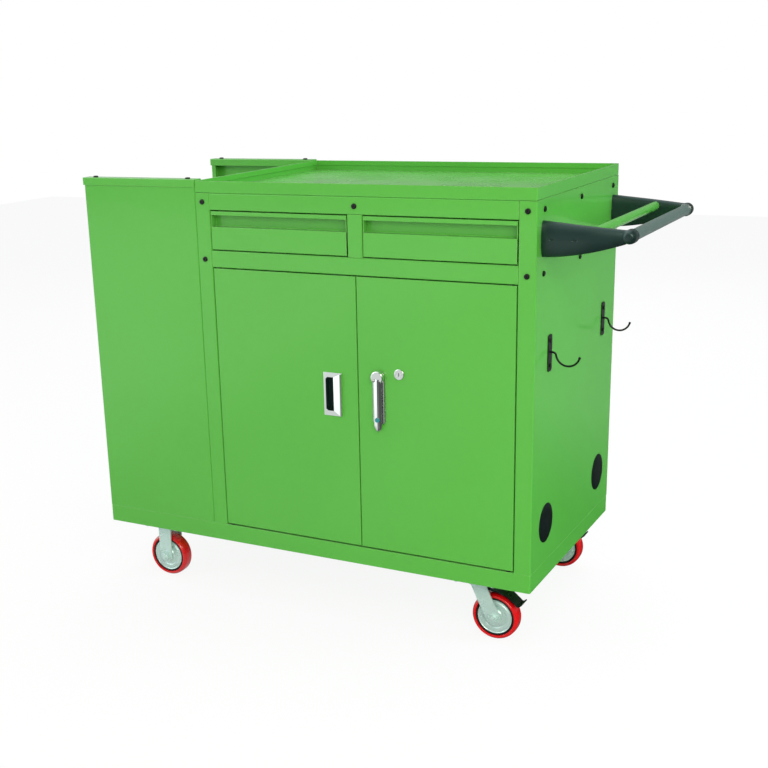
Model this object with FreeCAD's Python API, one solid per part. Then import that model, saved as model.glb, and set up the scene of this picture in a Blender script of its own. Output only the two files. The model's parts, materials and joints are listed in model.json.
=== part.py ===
import FreeCAD, Part
import math
import os

# Rolling tool cabinet with an open side bay, a push handle and four casters.
# Millimetres. +X is the push handle's side, +Y the back, +Z up.
# The origin is on the floor, under the middle of the overall box.

V = FreeCAD.Vector
X_AXIS = V(1, 0, 0)
Y_AXIS = V(0, 1, 0)
Z_AXIS = V(0, 0, 1)

# ---------------------------------------------------------------- driving sizes
cabinet_width = 750.0       # right side face to left side face
cabinet_depth = 530.0       # front face to back face
bay_width = 292.0           # open bay on the left
body_height = 800.0         # underside of the base to the top of the tray rim
wheel_r = 50.8              # 4 inch wheels
wheel_top_gap = 32.4        # tread's top to the underside of the base
base_height = 39.0
base_sheet = 1.5
base_corner = 3.0
base_edge = 0.9             # rounding of the base's upper edge
sheet = 1.2                 # cabinet panels
bend = 1.3                  # inside radius of the bends
over = 1.0                  # how far a cutting shape runs past what it cuts

tray_rim = 24.5             # rim above the cabinet's panels
hem_height = 11.0           # tray's rim is folded inwards and down
hem_gap = 0.5
post_width = 35.0           # folded front edge of each side panel
top_rail_height = 35.0
mid_rail_height = 35.5
drawer_opening = 84.5
mullion_width = 33.0
flange = 20.0               # depth of folded returns
tab_w = 24.0                # tabs that tie the front frame together
tab_edge = 4.0
skirt_height = 30.0         # tray's side skirts, behind the upper side screws
deck_flange = 30.0          # down-turned edges of the drawer deck

reveal = 2.2                # visible gap round doors and drawer fronts
door_foot = 3.4             # gap under the doors
door_depth = 18.0
door_lip = 14.0
drawer_length = 470.0       # box, front to back
drawer_wall = 1.0
drawer_floor_lift = 9.0     # drawer box above the drawer deck
drawer_box_height = 62.0
pull_lip = 8.5              # rolled lip over the pull channel
pull_mouth = 24.0           # height of the channel's mouth
pull_depth = 18.0
pull_return = 6.0           # lip's folded lower edge
drawer_bend = 0.6           # inside radius of the drawer front's bends

runner_height = 35.0
runner_width = 12.7         # cabinet side to drawer side
runner_length = 450.0
runner_gap = 0.5            # between nested members
member_t = 1.2
foot_w = 26.0               # brackets that carry the outer members
foot_h = 24.0

face_gap = 0.3              # running clearance between bodies
notch_gap = 0.5             # round tabs and posts that pass through a piece

screw_head_r = 5.5          # M6 button heads
screw_head_h = 3.0
screw_dome = 1.8
screw_socket_r = 2.0
screw_socket_depth = 1.65
screw_r = 3.0
screw_hole_r = 3.3
screw_reach = 9.0
frame_screw_inset = 17.5    # from the cabinet's side faces
side_screw_inset = 42.0     # from the front and back faces
upper_screw_drop = 18.5     # below the tray's seam
lower_screw_rise = 16.5     # above the middle rail's lower edge

panel_depth = 24.0          # bay panels, front to back
panel_lip = 12.0
cap_height = 16.0
cap_over = 2.0              # how far a cap stands past its panel
cap_rise = 2.8              # cap's top above the tray's rim
cap_screw_inset = 24.0

shelf_drop = 289.5          # shelf's top below the middle rail
shelf_flange = 20.0
shelf_front_gap = 55.0
shelf_side_gap = 1.0
clip_w = 18.0
clip_reach = 12.0
clip_t = 2.0
clip_drop = 16.0
catch_w = 40.0
catch_deep = 14.0
catch_tall = 12.0
catch_from_middle = 70.0
catch_back = 1.0            # behind the rail's flange

arm_thick = 20.0            # push handle arms, front to back
arm_inset = 24.0            # arm's outer face from the cabinet's front or back
arm_root_height = 68.0
arm_root_drop = 97.0        # arm's root below the tray's rim
arm_tip_reach = 160.0       # grip tube's axis from the side panel
arm_tip_drop = 89.0         # grip tube's axis below the tray's rim
arm_tip_r = 13.5
arm_tip_round = 6.0
arm_dent_w = 10.0           # two shallow moulded slots in the outer face
arm_dent_h = 2.4
arm_dent_depth = 1.5
arm_dents = (20.0, 64.0)    # from the side panel
arm_elbow = 22.0            # how far the arm's tip is set inwards
arm_fillet = 5.0
collar_length = 13.0
collar_r = 13.5
collar_groove = 1.2
grip_r = 11.0
grip_insert = 12.0
cross_bar_r = 9.0
cross_bar_reach = 93.0
cross_bar_drop = 84.0       # below the tray's rim
cross_bar_seat = 4.0        # how far the bar sinks into each arm
tube_wall = 1.5

hook_inset = 87.0           # from the front and back faces
hook_drop = 325.0           # below the tray's rim
hook_plate_w = 22.0
hook_plate_h = 73.0
hook_plate_t = 2.0
hook_wire_r = 2.0
hook_tip_r = 2.6
hook_bend_r = 24.0
hook_neck_r = 7.0
hook_fall = 80.0            # degrees that the neck turns down
hook_lift = 75.0            # degrees that the bowl turns up
hook_stub = 5.0
hook_stub_rise = 2.0        # wire above the plate's middle
hook_plate_corner = 5.0
hook_screw_pitch = 49.0
hook_screw_head_r = 4.0
hook_screw_head_h = 2.0
hook_screw_dome = 1.2
hook_screw_r = 2.0
hook_screw_hole_r = 2.2
hook_screw_reach = 6.0

cover_inset = 88.0          # round covers, from the front and back faces
cover_height = 122.5
cover_r = 41.0
cover_hole_r = 36.0
cover_plug = 8.0
cover_wall = 2.0
cover_plug_gap = 0.1
cover_crown = (4.0, 3.4, 1.0)   # height at the middle, at the shoulder and at the rim
cover_shoulder = 0.75       # shoulder's share of the radius
cover_crown_r = 20.0
cover_rim_r = 1.5

pull_width = 43.0           # recessed pull on the left door
pull_height = 92.0
pull_centre_in = 58.0       # from the middle of the cabinet
pull_centre_z = 370.5       # above the base's underside
pull_bezel_t = 2.0
pull_cup_depth = 15.0
pull_cup_wall = 1.2
pull_cup_gap = 0.4          # cup to the door's cut-out
pull_cup_round = 2.0
pull_corner = 4.0           # cut corners of the bezel's opening
pull_frame = 5.0            # bezel's rim
pull_wing = 20.0            # bezel's wide sloping side
pull_wing_rise = 5.0
pull_wing_flat = 3.0        # wing's crest to its outer side
pull_wing_round = 2.0
pull_edge_round = 1.0

lever_centre_in = 48.0      # swing handle, from the middle of the cabinet
lever_top_z = 430.5         # above the base's underside
lever_total = 127.0
lever_base_w = 27.0
lever_base_h = 112.0
lever_base_t = 3.5
lever_base_top_r = 13.3
lever_base_corner = 6.0
lever_base_round = 1.5
lever_w = 17.0
lever_t = 6.0
lever_wall = 1.2            # floor of the head's slot
lever_round = 2.0
lever_taper = 14.0          # length of the tapered tip
lever_taper_r = 4.0
lever_tip_half = 3.5
lever_tip_r = 3.0
lever_pin_drop = 6.5        # lever's pin below the head's axis
lever_pin_short = 0.8       # pin's ends inside the head
round_slack = 0.05          # flat left between two full rounds
head_r = 13.5
head_t = 8.5
head_round = 2.0
spindle_r = 5.0
spindle_hole_r = 5.06
lever_pin_r = 1.75
lever_pin_hole_r = 1.80
button_r = 5.0
button_rise = 1.5
button_travel = 1.5
button_stub = 2.0           # part of the button inside the lever
button_spare = 0.5          # well below the pressed button
button_round = 0.8
button_from_top = 102.0
cam_disc_r = 15.0
cam_disc_t = 3.0

rod_w = 10.0
rod_t = 3.0
rod_shift = 12.0            # travel of each latch rod
rod_behind_flange = 0.8
rod_slot_gap = 1.0          # round the lower rod where it enters the deck
yoke_pin_r = 2.0
yoke_h = 12.0
yoke_slot_gap = 0.6
yoke_wall = 3.0
yoke_apart = 0.5            # half the gap between the two yokes
rod_tip_gap = 2.0
guide_wall = 1.6
guide_height = 10.0
guide_ear = 4.0
guide_inset = 2.0           # from the door's upper and lower edges

lock_centre_in = 93.5       # keyed lock, from the middle of the cabinet
lock_centre_z = 426.0
lock_face_r = 11.0
lock_body_r = 9.5
lock_plug_r = 6.0
lock_plug_hole_r = 6.05
lock_face_t = 3.0
lock_length = 22.0
lock_nut_r = 13.0
lock_nut_t = 4.0
lock_cam_length = 24.0
lock_cam_t = 2.0
lock_cam_rise = 8.0         # cam above the plug's axis
lock_cam_top_half = 7.0
lock_cam_tip_half = 6.0
lock_cam_top_r = 4.0
lock_cam_tip_r = 3.0
lock_round = 1.2
key_slot_w = 1.4
key_slot_h = 7.0

pivot_inset = 11.0          # door pivot from the door's hinge edge
pivot_back = 6.5            # door pivot behind the front face
pivot_r = 3.0
pivot_hole_r = 3.06
pivot_reach = 9.0
pin_collar_r = 5.0
pin_head_r = 4.0
pin_head_h = 2.0
bush_r = 6.0

caster_inset_x = 127.0      # caster axis from the end faces
caster_inset_y = 53.0       # caster axis from the front and back faces
wheel_w = 32.0
tread_t = 9.0
tread_round = 7.0
hub_w = 36.0
hub_web = 7.0
hub_boss_r = 13.0
hub_rim_in = 2.5            # hub's rim inside the tread's faces
tread_foot = 2.0            # tread's chamfer at the hub
tread_seat_gap = 0.02
axle_r = 5.0
axle_hole_r = 5.06
axle_head_r = 9.0
axle_head_h = 6.0
axle_stub = 2.5             # thread past the nut
swivel_trail = 38.0
plate_x = 102.0
plate_y = 84.0
plate_t = 3.5
plate_corner = 8.0
plate_hole_x = 80.0
plate_hole_y = 60.0
race_r = 27.0
race_h = 8.0
race_round = 2.0
kingpin_r = 6.0
kingpin_hole_r = 6.06
kingpin_tail = 3.0          # below the crown
kingpin_top_gap = 0.5       # below the mounting plate's face
kingpin_nut_r = 9.0
kingpin_nut_h = 3.5
fork_t = 3.0
fork_gap = 2.0              # fork leg to wheel hub
fork_leg_w = 34.0
fork_leg_behind = 13.0      # swivel leg's top, behind and ahead of the kingpin
fork_leg_ahead = 21.0
fork_tip_r = 16.0
fork_crown_h = 4.0
bolt_r = 4.0
bolt_hole_r = 4.3
bolt_head_r = 6.5
bolt_head_h = 5.3
pedal_w = 34.0
pedal_t = 2.5
pedal_barrel_r = 5.5
pedal_pin_r = 3.0
pedal_hole_r = 3.06
pedal_pin_over = 9.2        # pedal's pin above the tread
pedal_pin_out = 1.5         # pin's ends outside the fork
pedal_bend = 3.0
pedal_heel = (24.0, 3.0)    # behind the axle, and above the pin
pedal_bends = ((8.0, 0.0), (29.0, 0.0), (50.0, 0.0), (57.3, 1.4), (56.4, 9.8))   # degrees, and further out
pedal_pin_behind = 18.0     # pedal's pin behind the axle
pedal_tread_gap = 6.5       # pedal above the tread when it is up

lever_reach = lever_base_t + 2 * face_gap + lever_wall + lever_t + button_rise
back_reach = screw_head_h

# ---------------------------------------------------------------- planes worked out
caster_height = 2 * wheel_r + wheel_top_gap
arm_root_mid = body_height - arm_root_drop
arm_tip_height = body_height - arm_tip_drop
cross_bar_height = body_height - cross_bar_drop
hook_height = body_height - hook_drop
pedal_rise = wheel_r + pedal_pin_over
handle_reach = arm_tip_reach + arm_tip_r
overall_length = cap_over + bay_width + cabinet_width + handle_reach
overall_depth = lever_reach + cabinet_depth + back_reach
x_right = overall_length / 2 - handle_reach
x_left = x_right - cabinet_width
x_bay = x_left - bay_width
x_mid = (x_left + x_right) / 2
y_front = -overall_depth / 2 + lever_reach
y_back = y_front + cabinet_depth
y_mid = (y_front + y_back) / 2
z_base = caster_height
z_deck = z_base + base_height
z_rim = z_base + body_height
z_seam = z_rim - tray_rim
z_drawer_top = z_seam - top_rail_height
z_drawer_foot = z_drawer_top - drawer_opening
z_door_top_rail = z_drawer_foot - mid_rail_height
x_open_left = x_left + post_width
x_open_right = x_right - post_width
z_upper_screw = z_seam - upper_screw_drop
z_lower_screw = z_door_top_rail + lower_screw_rise


# ---------------------------------------------------------------- shape helpers
def block(x0, x1, y0, y1, z0, z1):
    low = V(min(x0, x1), min(y0, y1), min(z0, z1))
    return Part.makeBox(abs(x1 - x0), abs(y1 - y0), abs(z1 - z0), low)


def rod(start, along, radius, length):
    return Part.makeCylinder(radius, length, start, along)


def joined(pieces):
    if len(pieces) == 1:
        return pieces[0]
    return pieces[0].fuse(pieces[1:]).removeSplitter()


def less(body, tools):
    return body.cut(tools)


def corner_wire(points, radii):
    # closed wire through points, each corner rounded by its radius
    edges = []
    ends = []
    count = len(points)
    for i in range(count):
        here = points[i]
        back = points[i - 1] - here
        on = points[(i + 1) % count] - here
        if radii[i] <= 0:
            ends.append((here, here))
            continue
        half = back.getAngle(on) / 2
        run = radii[i] / math.tan(half)
        first = here + back.normalize() * run
        last = here + on.normalize() * run
        centre_way = (first + last) * 0.5 - here
        middle = here + centre_way.normalize() * (radii[i] / math.sin(half) - radii[i])
        ends.append((first, last))
        edges.append((i, Part.Arc(first, middle, last).toShape()))
    arcs = dict(edges)
    ordered = []
    for i in range(count):
        if i in arcs:
            ordered.append(arcs[i])
        start = ends[i][1]
        stop = ends[(i + 1) % count][0]
        if start.distanceToPoint(stop) > 1e-6:
            ordered.append(Part.LineSegment(start, stop).toShape())
    return Part.Wire(Part.__sortEdges__(ordered))


def prism(points, radii, along):
    return Part.Face(corner_wire(points, radii)).extrude(along)


def folded(path, thick, inner, along):
    # bent sheet: path is its outer face, with the thickness to the left of travel
    normal = V(along).normalize()
    left = []
    right_r = []
    left_r = []
    count = len(path)
    for i, here in enumerate(path):
        ways = []
        if i > 0:
            ways.append((here - path[i - 1]).normalize())
        if i < count - 1:
            ways.append((path[i + 1] - here).normalize())
        sides = [normal.cross(way) for way in ways]
        if len(sides) == 1:
            left.append(here + sides[0] * thick)
            right_r.append(0)
            left_r.append(0)
            continue
        both = sides[0] + sides[1]
        shift = both * (2 * thick / both.dot(both))
        left.append(here + shift)
        turn = ways[0].cross(ways[1]).dot(normal)
        right_r.append(inner + thick if turn > 0 else inner)
        left_r.append(inner if turn > 0 else inner + thick)
    points = list(path) + left[::-1]
    return prism(points, right_r + left_r[::-1], along)


def rounded_box(x0, x1, y0, y1, z0, z1, radius, along):
    # box whose edges along one axis are rounded
    body = block(x0, x1, y0, y1, z0, z1)
    picked = [e for e in body.Edges if abs(e.tangentAt(e.FirstParameter).dot(along)) > 0.99]
    return body.makeFillet(radius, picked)


def along_edges(body, along):
    found = []
    for edge in body.Edges:
        if isinstance(edge.Curve, Part.Line) and abs(edge.tangentAt(edge.FirstParameter).dot(along)) > 0.99:
            found.append(edge)
    return found


def button_screw(head_at, way):
    # M6 button head: head_at is on the panel's face, way points out of it
    head = Part.makeCylinder(screw_head_r, screw_head_h, head_at, way)
    rim = [e for e in head.Edges if isinstance(e.Curve, Part.Circle)]
    far = max(rim, key=lambda e: e.Curve.Center.dot(way))
    head = head.makeFillet(screw_dome, [far])
    socket_floor = screw_head_h - screw_socket_depth
    socket = prism_hex(head_at + way * socket_floor, way, screw_socket_r, screw_head_h)
    shank = rod(head_at - way * screw_reach, way, screw_r, screw_reach + socket_floor)
    return head.cut(socket).fuse(shank).removeSplitter()


def prism_hex(centre, way, inner_r, height):
    side = way.cross(X_AXIS if abs(way.x) < 0.9 else Y_AXIS).normalize()
    other = way.cross(side)
    outer = inner_r / math.cos(math.pi / 6)
    points = []
    for k in range(6):
        a = k * math.pi / 3
        points.append(centre + side * (outer * math.cos(a)) + other * (outer * math.sin(a)))
    return prism(points, [0] * 6, way * height)


def write(name, shape):
    shape.exportStep("parts/" + name + ".step")


def group(solids):
    return Part.makeCompound(solids)


os.makedirs("parts", exist_ok=True)

# ---------------------------------------------------------------- screw places
front_screws = [
    V(x_left + frame_screw_inset, y_front, z_upper_screw),
    V(x_mid, y_front, z_upper_screw),
    V(x_right - frame_screw_inset, y_front, z_upper_screw),
    V(x_left + frame_screw_inset, y_front, z_lower_screw),
    V(x_right - frame_screw_inset, y_front, z_lower_screw),
]
side_rows = [y_front + side_screw_inset, y_mid, y_back - side_screw_inset]
right_screws = [V(x_right, y, z) for y in side_rows for z in (z_upper_screw, z_lower_screw)]
left_screws = [V(x_left, y, z) for y in side_rows for z in (z_upper_screw, z_lower_screw)]
back_rows = [z_deck + side_screw_inset, (z_deck + z_lower_screw) / 2, z_lower_screw, z_upper_screw]
back_columns = [x_left + frame_screw_inset, x_right - frame_screw_inset]
back_screws = [V(x, y_back, z) for x in back_columns for z in back_rows]
cap_rows = [y_front + panel_depth / 2, y_back - panel_depth / 2]
z_cap = z_rim + cap_rise
cap_screws = [V(x, y, z_cap) for y in cap_rows for x in (x_bay + cap_screw_inset, x_left - cap_screw_inset)]


def screw_holes(places, way):
    start = screw_reach + sheet
    return [rod(p - way * start, way, screw_hole_r, start + sheet) for p in places]


# ---------------------------------------------------------------- base and deck
casters_x = [x_bay + caster_inset_x, x_right - caster_inset_x]
casters_y = [y_front + caster_inset_y, y_back - caster_inset_y]
x_rigid, x_swivel = casters_x
bolt_spots = []
for cx in casters_x:
    for cy in casters_y:
        for sx in (-1, 1):
            for sy in (-1, 1):
                bolt_spots.append(V(cx + sx * plate_hole_x / 2, cy + sy * plate_hole_y / 2, z_base))

x_pivot_left = x_open_left + reveal + pivot_inset
x_pivot_right = x_open_right - reveal - pivot_inset
y_pivot = y_front + pivot_back
z_door_foot = z_deck + door_foot
z_door_top = z_door_top_rail - reveal
x_lever = x_mid + lever_centre_in
y_rod = y_front + max(flange, door_depth) + rod_behind_flange
x_rod_upper = x_lever + rod_shift / 2
x_rod_lower = x_lever - rod_shift / 2

base = rounded_box(x_bay, x_right, y_front, y_back, z_base, z_deck, base_corner, Z_AXIS)
base = base.makeFillet(base_edge, [e for e in base.Edges if e.BoundBox.ZMin > z_deck - base_edge])
base = less(base, [block(x_bay + base_sheet, x_right - base_sheet, y_front + base_sheet, y_back - base_sheet,
                         z_base + base_sheet, z_deck + base_sheet)])
base = less(base, [rod(p - Z_AXIS * base_sheet, Z_AXIS, bolt_hole_r, 3 * base_sheet) for p in bolt_spots])
write("base_tray", base)

deck = block(x_bay + base_sheet, x_right - base_sheet, y_front + base_sheet, y_back - base_sheet,
             z_base + base_sheet, z_deck)
deck = less(deck, [
    block(x_bay + base_sheet + sheet, x_right - base_sheet - sheet, y_front + base_sheet + sheet,
          y_back - base_sheet - sheet, z_base, z_deck - sheet),
    rod(V(x_pivot_left, y_pivot, z_deck - flange), Z_AXIS, pivot_r, 2 * flange),
    rod(V(x_pivot_right, y_pivot, z_deck - flange), Z_AXIS, pivot_r, 2 * flange),
    block(x_rod_lower - rod_w / 2 - rod_slot_gap, x_rod_lower + rod_w / 2 + rod_slot_gap,
          y_rod - rod_slot_gap,
          y_rod + rod_t + rod_slot_gap, z_deck - 2 * sheet, z_deck + sheet)])
write("floor_deck", deck)

# ---------------------------------------------------------------- side panels
upper_tab = (z_drawer_top + tab_edge, z_seam - tab_edge)
lower_tab = (z_door_top_rail + tab_edge, z_drawer_foot - tab_edge)
cover_spots = [V(x_right, y_front + cover_inset, z_base + cover_height),
               V(x_right, y_back - cover_inset, z_base + cover_height)]
hook_spots = [V(x_right, y_front + hook_inset, z_base + hook_height),
              V(x_right, y_back - hook_inset, z_base + hook_height)]
hook_screws = [p + Z_AXIS * (side * hook_screw_pitch / 2) for p in hook_spots for side in (-1, 1)]


def side_shell():
    path = [V(x_open_right, y_front + flange, z_deck), V(x_open_right, y_front, z_deck),
            V(x_right, y_front, z_deck), V(x_right, y_back - sheet, z_deck),
            V(x_right - flange - post_width / 2, y_back - sheet, z_deck)]
    shell = folded(path, sheet, bend, Z_AXIS * (z_seam - z_deck))
    notches = []
    for low, high in (upper_tab, lower_tab):
        notches.append(block(x_open_right - sheet, x_open_right + sheet + bend + notch_gap, y_front + sheet,
                             y_front + 2 * sheet + notch_gap, low - notch_gap, high + notch_gap))
    front = [p for p in front_screws if p.x > x_mid + post_width]
    back = [p for p in back_screws if p.x > x_mid]
    tools = notches + screw_holes(front, -Y_AXIS) + screw_holes(back, Y_AXIS)
    return less(shell, tools + screw_holes(right_screws, X_AXIS))


right_panel = less(side_shell(), [rod(spot - X_AXIS * flange, X_AXIS, cover_hole_r, 2 * flange)
                                  for spot in cover_spots]
                   + [rod(p - X_AXIS * flange, X_AXIS, hook_screw_hole_r, 2 * flange) for p in hook_screws])
write("side_panel_right", right_panel)
left_panel = side_shell().mirror(V(x_mid, 0, 0), X_AXIS)
write("side_panel_left", left_panel)

back = block(x_left, x_right, y_back - sheet, y_back, z_deck, z_seam)
write("back_panel", less(back, screw_holes(back_screws, Y_AXIS)))


# ---------------------------------------------------------------- front frame
def rail(z_low, z_high, tab):
    path = [V(x_open_left, y_front + flange, z_high), V(x_open_left, y_front, z_high),
            V(x_open_left, y_front, z_low), V(x_open_left, y_front + flange, z_low)]
    body = folded(path, sheet, bend, X_AXIS * (x_open_right - x_open_left))
    tabs = []
    for edge, way in ((x_open_left, -1), (x_open_right, 1)):
        tabs.append(block(edge - way * tab_w / 2, edge + way * tab_w, y_front + sheet, y_front + 2 * sheet,
                          tab[0], tab[1]))
    return joined([body] + tabs)


top_rail = less(rail(z_drawer_top, z_seam, upper_tab), screw_holes(front_screws[:3], -Y_AXIS)
                + [block(x_mid - tab_w / 2 - notch_gap, x_mid + tab_w / 2 + notch_gap, y_front + sheet,
                         y_front + 2 * sheet + notch_gap, z_drawer_top - sheet, z_drawer_top + sheet + bend)])
write("top_rail", top_rail)
mid_rail = less(rail(z_door_top_rail, z_drawer_foot, lower_tab), screw_holes(front_screws[3:], -Y_AXIS)
                + [rod(V(x, y_pivot, z_door_top_rail - sheet), Z_AXIS, pivot_r, 3 * sheet)
                   for x in (x_pivot_left, x_pivot_right)])
write("middle_rail", mid_rail)

half_mullion = mullion_width / 2
z_drawer_deck = z_drawer_foot - sheet
mullion_path = [V(x_mid - half_mullion, y_front + flange, z_drawer_foot),
                V(x_mid - half_mullion, y_front, z_drawer_foot),
                V(x_mid + half_mullion, y_front, z_drawer_foot),
                V(x_mid + half_mullion, y_front + flange, z_drawer_foot)]
mullion = joined([
    folded(mullion_path, sheet, bend, Z_AXIS * drawer_opening),
    block(x_mid - half_mullion, x_mid + half_mullion, y_front + flange, y_front + flange + sheet,
          z_drawer_foot, z_drawer_top),
    block(x_mid - sheet / 2, x_mid + sheet / 2, y_front + flange + sheet, y_back - sheet, z_drawer_deck,
          z_seam),
    block(x_mid - tab_w / 2, x_mid + tab_w / 2, y_front + sheet, y_front + 2 * sheet,
          z_drawer_top - tab_w, upper_tab[1])])
write("mullion_divider", less(mullion, screw_holes([front_screws[1]], -Y_AXIS)))

inner_left = x_left + sheet
inner_right = x_right - sheet
drawer_deck = rounded_box(inner_left, inner_right, y_front + flange / 2, y_back - 2 * sheet,
                          z_drawer_deck - deck_flange, z_drawer_deck, bend, Z_AXIS)
deck_under = z_drawer_deck - 2 * deck_flange
y_post = y_front + flange + 2 * sheet
drawer_deck = less(drawer_deck, [
    block(inner_left + sheet, inner_right - sheet, y_front - flange, y_back + flange, deck_under,
          z_drawer_deck - sheet),
    block(inner_left - sheet, x_open_left + notch_gap, y_front, y_post, deck_under, z_rim),
    block(x_open_right - notch_gap, inner_right + sheet, y_front, y_post, deck_under, z_rim)]
    + screw_holes(right_screws, X_AXIS) + screw_holes(left_screws, -X_AXIS))
write("drawer_deck", drawer_deck)

# ---------------------------------------------------------------- top tray
tray = rounded_box(x_left, x_right, y_front, y_back, z_seam, z_rim, bend + sheet, Z_AXIS)
tray = tray.makeFillet(bend + sheet, [e for e in tray.Edges if e.BoundBox.ZMax < z_seam + sheet])
hem_t = sheet + hem_gap
tray = less(tray, [
    block(x_left + sheet, x_right - sheet, y_front + sheet, y_back - sheet, z_seam + sheet, z_rim + sheet)])
hem = less(block(x_left + sheet / 2, x_right - sheet / 2, y_front + sheet / 2, y_back - sheet / 2,
                 z_rim - sheet, z_rim),
           [block(x_left + sheet + hem_t, x_right - sheet - hem_t, y_front + sheet + hem_t,
                  y_back - sheet - hem_t,
                  z_rim - 2 * sheet, z_rim + sheet)])
hem_drop = less(block(x_left + sheet + hem_gap, x_right - sheet - hem_gap, y_front + sheet + hem_gap,
                      y_back - sheet - hem_gap, z_rim - hem_height, z_rim),
                [block(x_left + sheet + hem_t, x_right - sheet - hem_t, y_front + sheet + hem_t,
                       y_back - sheet - hem_t, z_rim - 2 * hem_height, z_rim + sheet)])
skirt_y = (y_front + flange + 4 * sheet, y_back - flange - sheet)
skirts = [block(wall, wall - way * sheet, skirt_y[0], skirt_y[1], z_seam - skirt_height, z_seam + sheet)
          for wall, way in ((inner_right, 1), (inner_left, -1))]
tray = joined([tray, hem, hem_drop] + skirts)
tray = less(tray, screw_holes(right_screws, X_AXIS) + screw_holes(left_screws, -X_AXIS))
write("top_tray", tray)


# ---------------------------------------------------------------- open bay
def bay_panel():
    z_top = z_cap - sheet
    path = [V(x_bay + panel_lip, y_front + panel_depth, z_deck), V(x_bay, y_front + panel_depth, z_deck),
            V(x_bay, y_front, z_deck), V(x_left, y_front, z_deck), V(x_left, y_front + panel_depth, z_deck),
            V(x_left - panel_lip, y_front + panel_depth, z_deck)]
    return folded(path, sheet, bend, Z_AXIS * (z_top - z_deck))


def bay_cap():
    shell = block(x_bay - cap_over, x_left, y_front - cap_over, y_front + panel_depth + cap_over,
                  z_cap - cap_height, z_cap)
    corners = [e for e in along_edges(shell, Z_AXIS)
               if e.CenterOfMass.x < x_mid - cabinet_width / 2 - cap_over]
    rims = [e for e in along_edges(shell, X_AXIS) if e.CenterOfMass.z > z_cap - sheet]
    shell = shell.makeFillet(bend, corners + rims)
    return less(shell, [block(x_bay - cap_over + sheet, x_left + sheet, y_front - cap_over + sheet,
                              y_front + panel_depth + cap_over - sheet, z_cap - 2 * cap_height,
                              z_cap - sheet)]
                + screw_holes(cap_screws, Z_AXIS))


front_panel = bay_panel()
write("bay_front_panel", front_panel)
write("bay_rear_panel", bay_panel().mirror(V(0, y_mid, 0), Y_AXIS))
write("bay_caps", group([bay_cap(), bay_cap().mirror(V(0, y_mid, 0), Y_AXIS)]))

# ---------------------------------------------------------------- screws
heads = [(front_screws, -Y_AXIS), (right_screws, X_AXIS), (left_screws, -X_AXIS), (back_screws, Y_AXIS),
         (cap_screws, Z_AXIS)]
screws = [button_screw(spot, way) for spots, way in heads for spot in spots]


def hook_screw(spot):
    at = spot + X_AXIS * hook_plate_t
    head = Part.makeCylinder(hook_screw_head_r, hook_screw_head_h, at, X_AXIS)
    far = max([e for e in head.Edges if isinstance(e.Curve, Part.Circle)], key=lambda e: e.Curve.Center.x)
    head = head.makeFillet(hook_screw_dome, [far])
    shank = rod(at - X_AXIS * hook_screw_reach, X_AXIS, hook_screw_r,
                hook_screw_reach + hook_screw_head_h / 2)
    return head.fuse(shank).removeSplitter()


screws += [hook_screw(p) for p in hook_screws]
write("panel_screws", group(screws))

# ---------------------------------------------------------------- shelf
z_shelf = z_door_top_rail - shelf_drop
shelf_x = (inner_left + shelf_side_gap, inner_right - shelf_side_gap)
shelf_y = (y_front + shelf_front_gap, y_back - flange)
shelf = block(shelf_x[0], shelf_x[1], shelf_y[0], shelf_y[1], z_shelf - shelf_flange, z_shelf)
upper_rims = [e for e in along_edges(shelf, X_AXIS) if e.CenterOfMass.z > z_shelf - sheet]
shelf = shelf.makeFillet(bend + sheet, upper_rims)
shelf = less(shelf, [block(shelf_x[0] + sheet, shelf_x[1] - sheet, shelf_y[0] + sheet, shelf_y[1] - sheet,
                           z_shelf - 2 * shelf_flange, z_shelf - sheet)])
write("inner_shelf", shelf)

clips = []
for y in (shelf_y[0] + 2 * clip_w, shelf_y[1] - 2 * clip_w):
    for wall, way in ((inner_left, 1), (inner_right, -1)):
        foot = z_shelf - shelf_flange
        clips.append(joined([
            block(wall, wall + way * clip_reach, y - clip_w / 2, y + clip_w / 2, foot - clip_t, foot),
            block(wall, wall + way * clip_t, y - clip_w / 2, y + clip_w / 2, foot - clip_drop, foot)]))
write("shelf_clips", group(clips))


# ---------------------------------------------------------------- doors
def door_pan(x0, x1, x_pivot):
    pan = block(x0, x1, y_front, y_front + door_depth, z_door_foot, z_door_top)
    face_edges = [e for e in pan.Edges if e.BoundBox.YMax < y_front + sheet]
    pan = pan.makeFillet(bend, face_edges)
    pan = less(pan, [
        block(x0 + sheet, x1 - sheet, y_front + sheet, y_front + door_depth - sheet, z_door_foot + sheet,
              z_door_top - sheet),
        block(x0 + door_lip, x1 - door_lip, y_front + door_depth - 2 * sheet, y_front + door_depth + sheet,
              z_door_foot + door_lip, z_door_top - door_lip)])
    bushes = [rod(V(x_pivot, y_pivot, z_door_foot), Z_AXIS, bush_r, pivot_reach),
              rod(V(x_pivot, y_pivot, z_door_top - pivot_reach), Z_AXIS, bush_r, pivot_reach)]
    inside = block(x0 + sheet / 2, x1 - sheet / 2, y_front + sheet / 2, y_front + door_depth, z_door_foot,
                   z_door_top)
    pan = joined([pan] + [b.common(inside) for b in bushes])
    return less(pan, [rod(V(x_pivot, y_pivot, z_door_foot - sheet), Z_AXIS, pivot_hole_r,
                          pivot_reach + sheet + over),
                      rod(V(x_pivot, y_pivot, z_door_top - pivot_reach - over), Z_AXIS, pivot_hole_r,
                          pivot_reach + sheet + over)])


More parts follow.
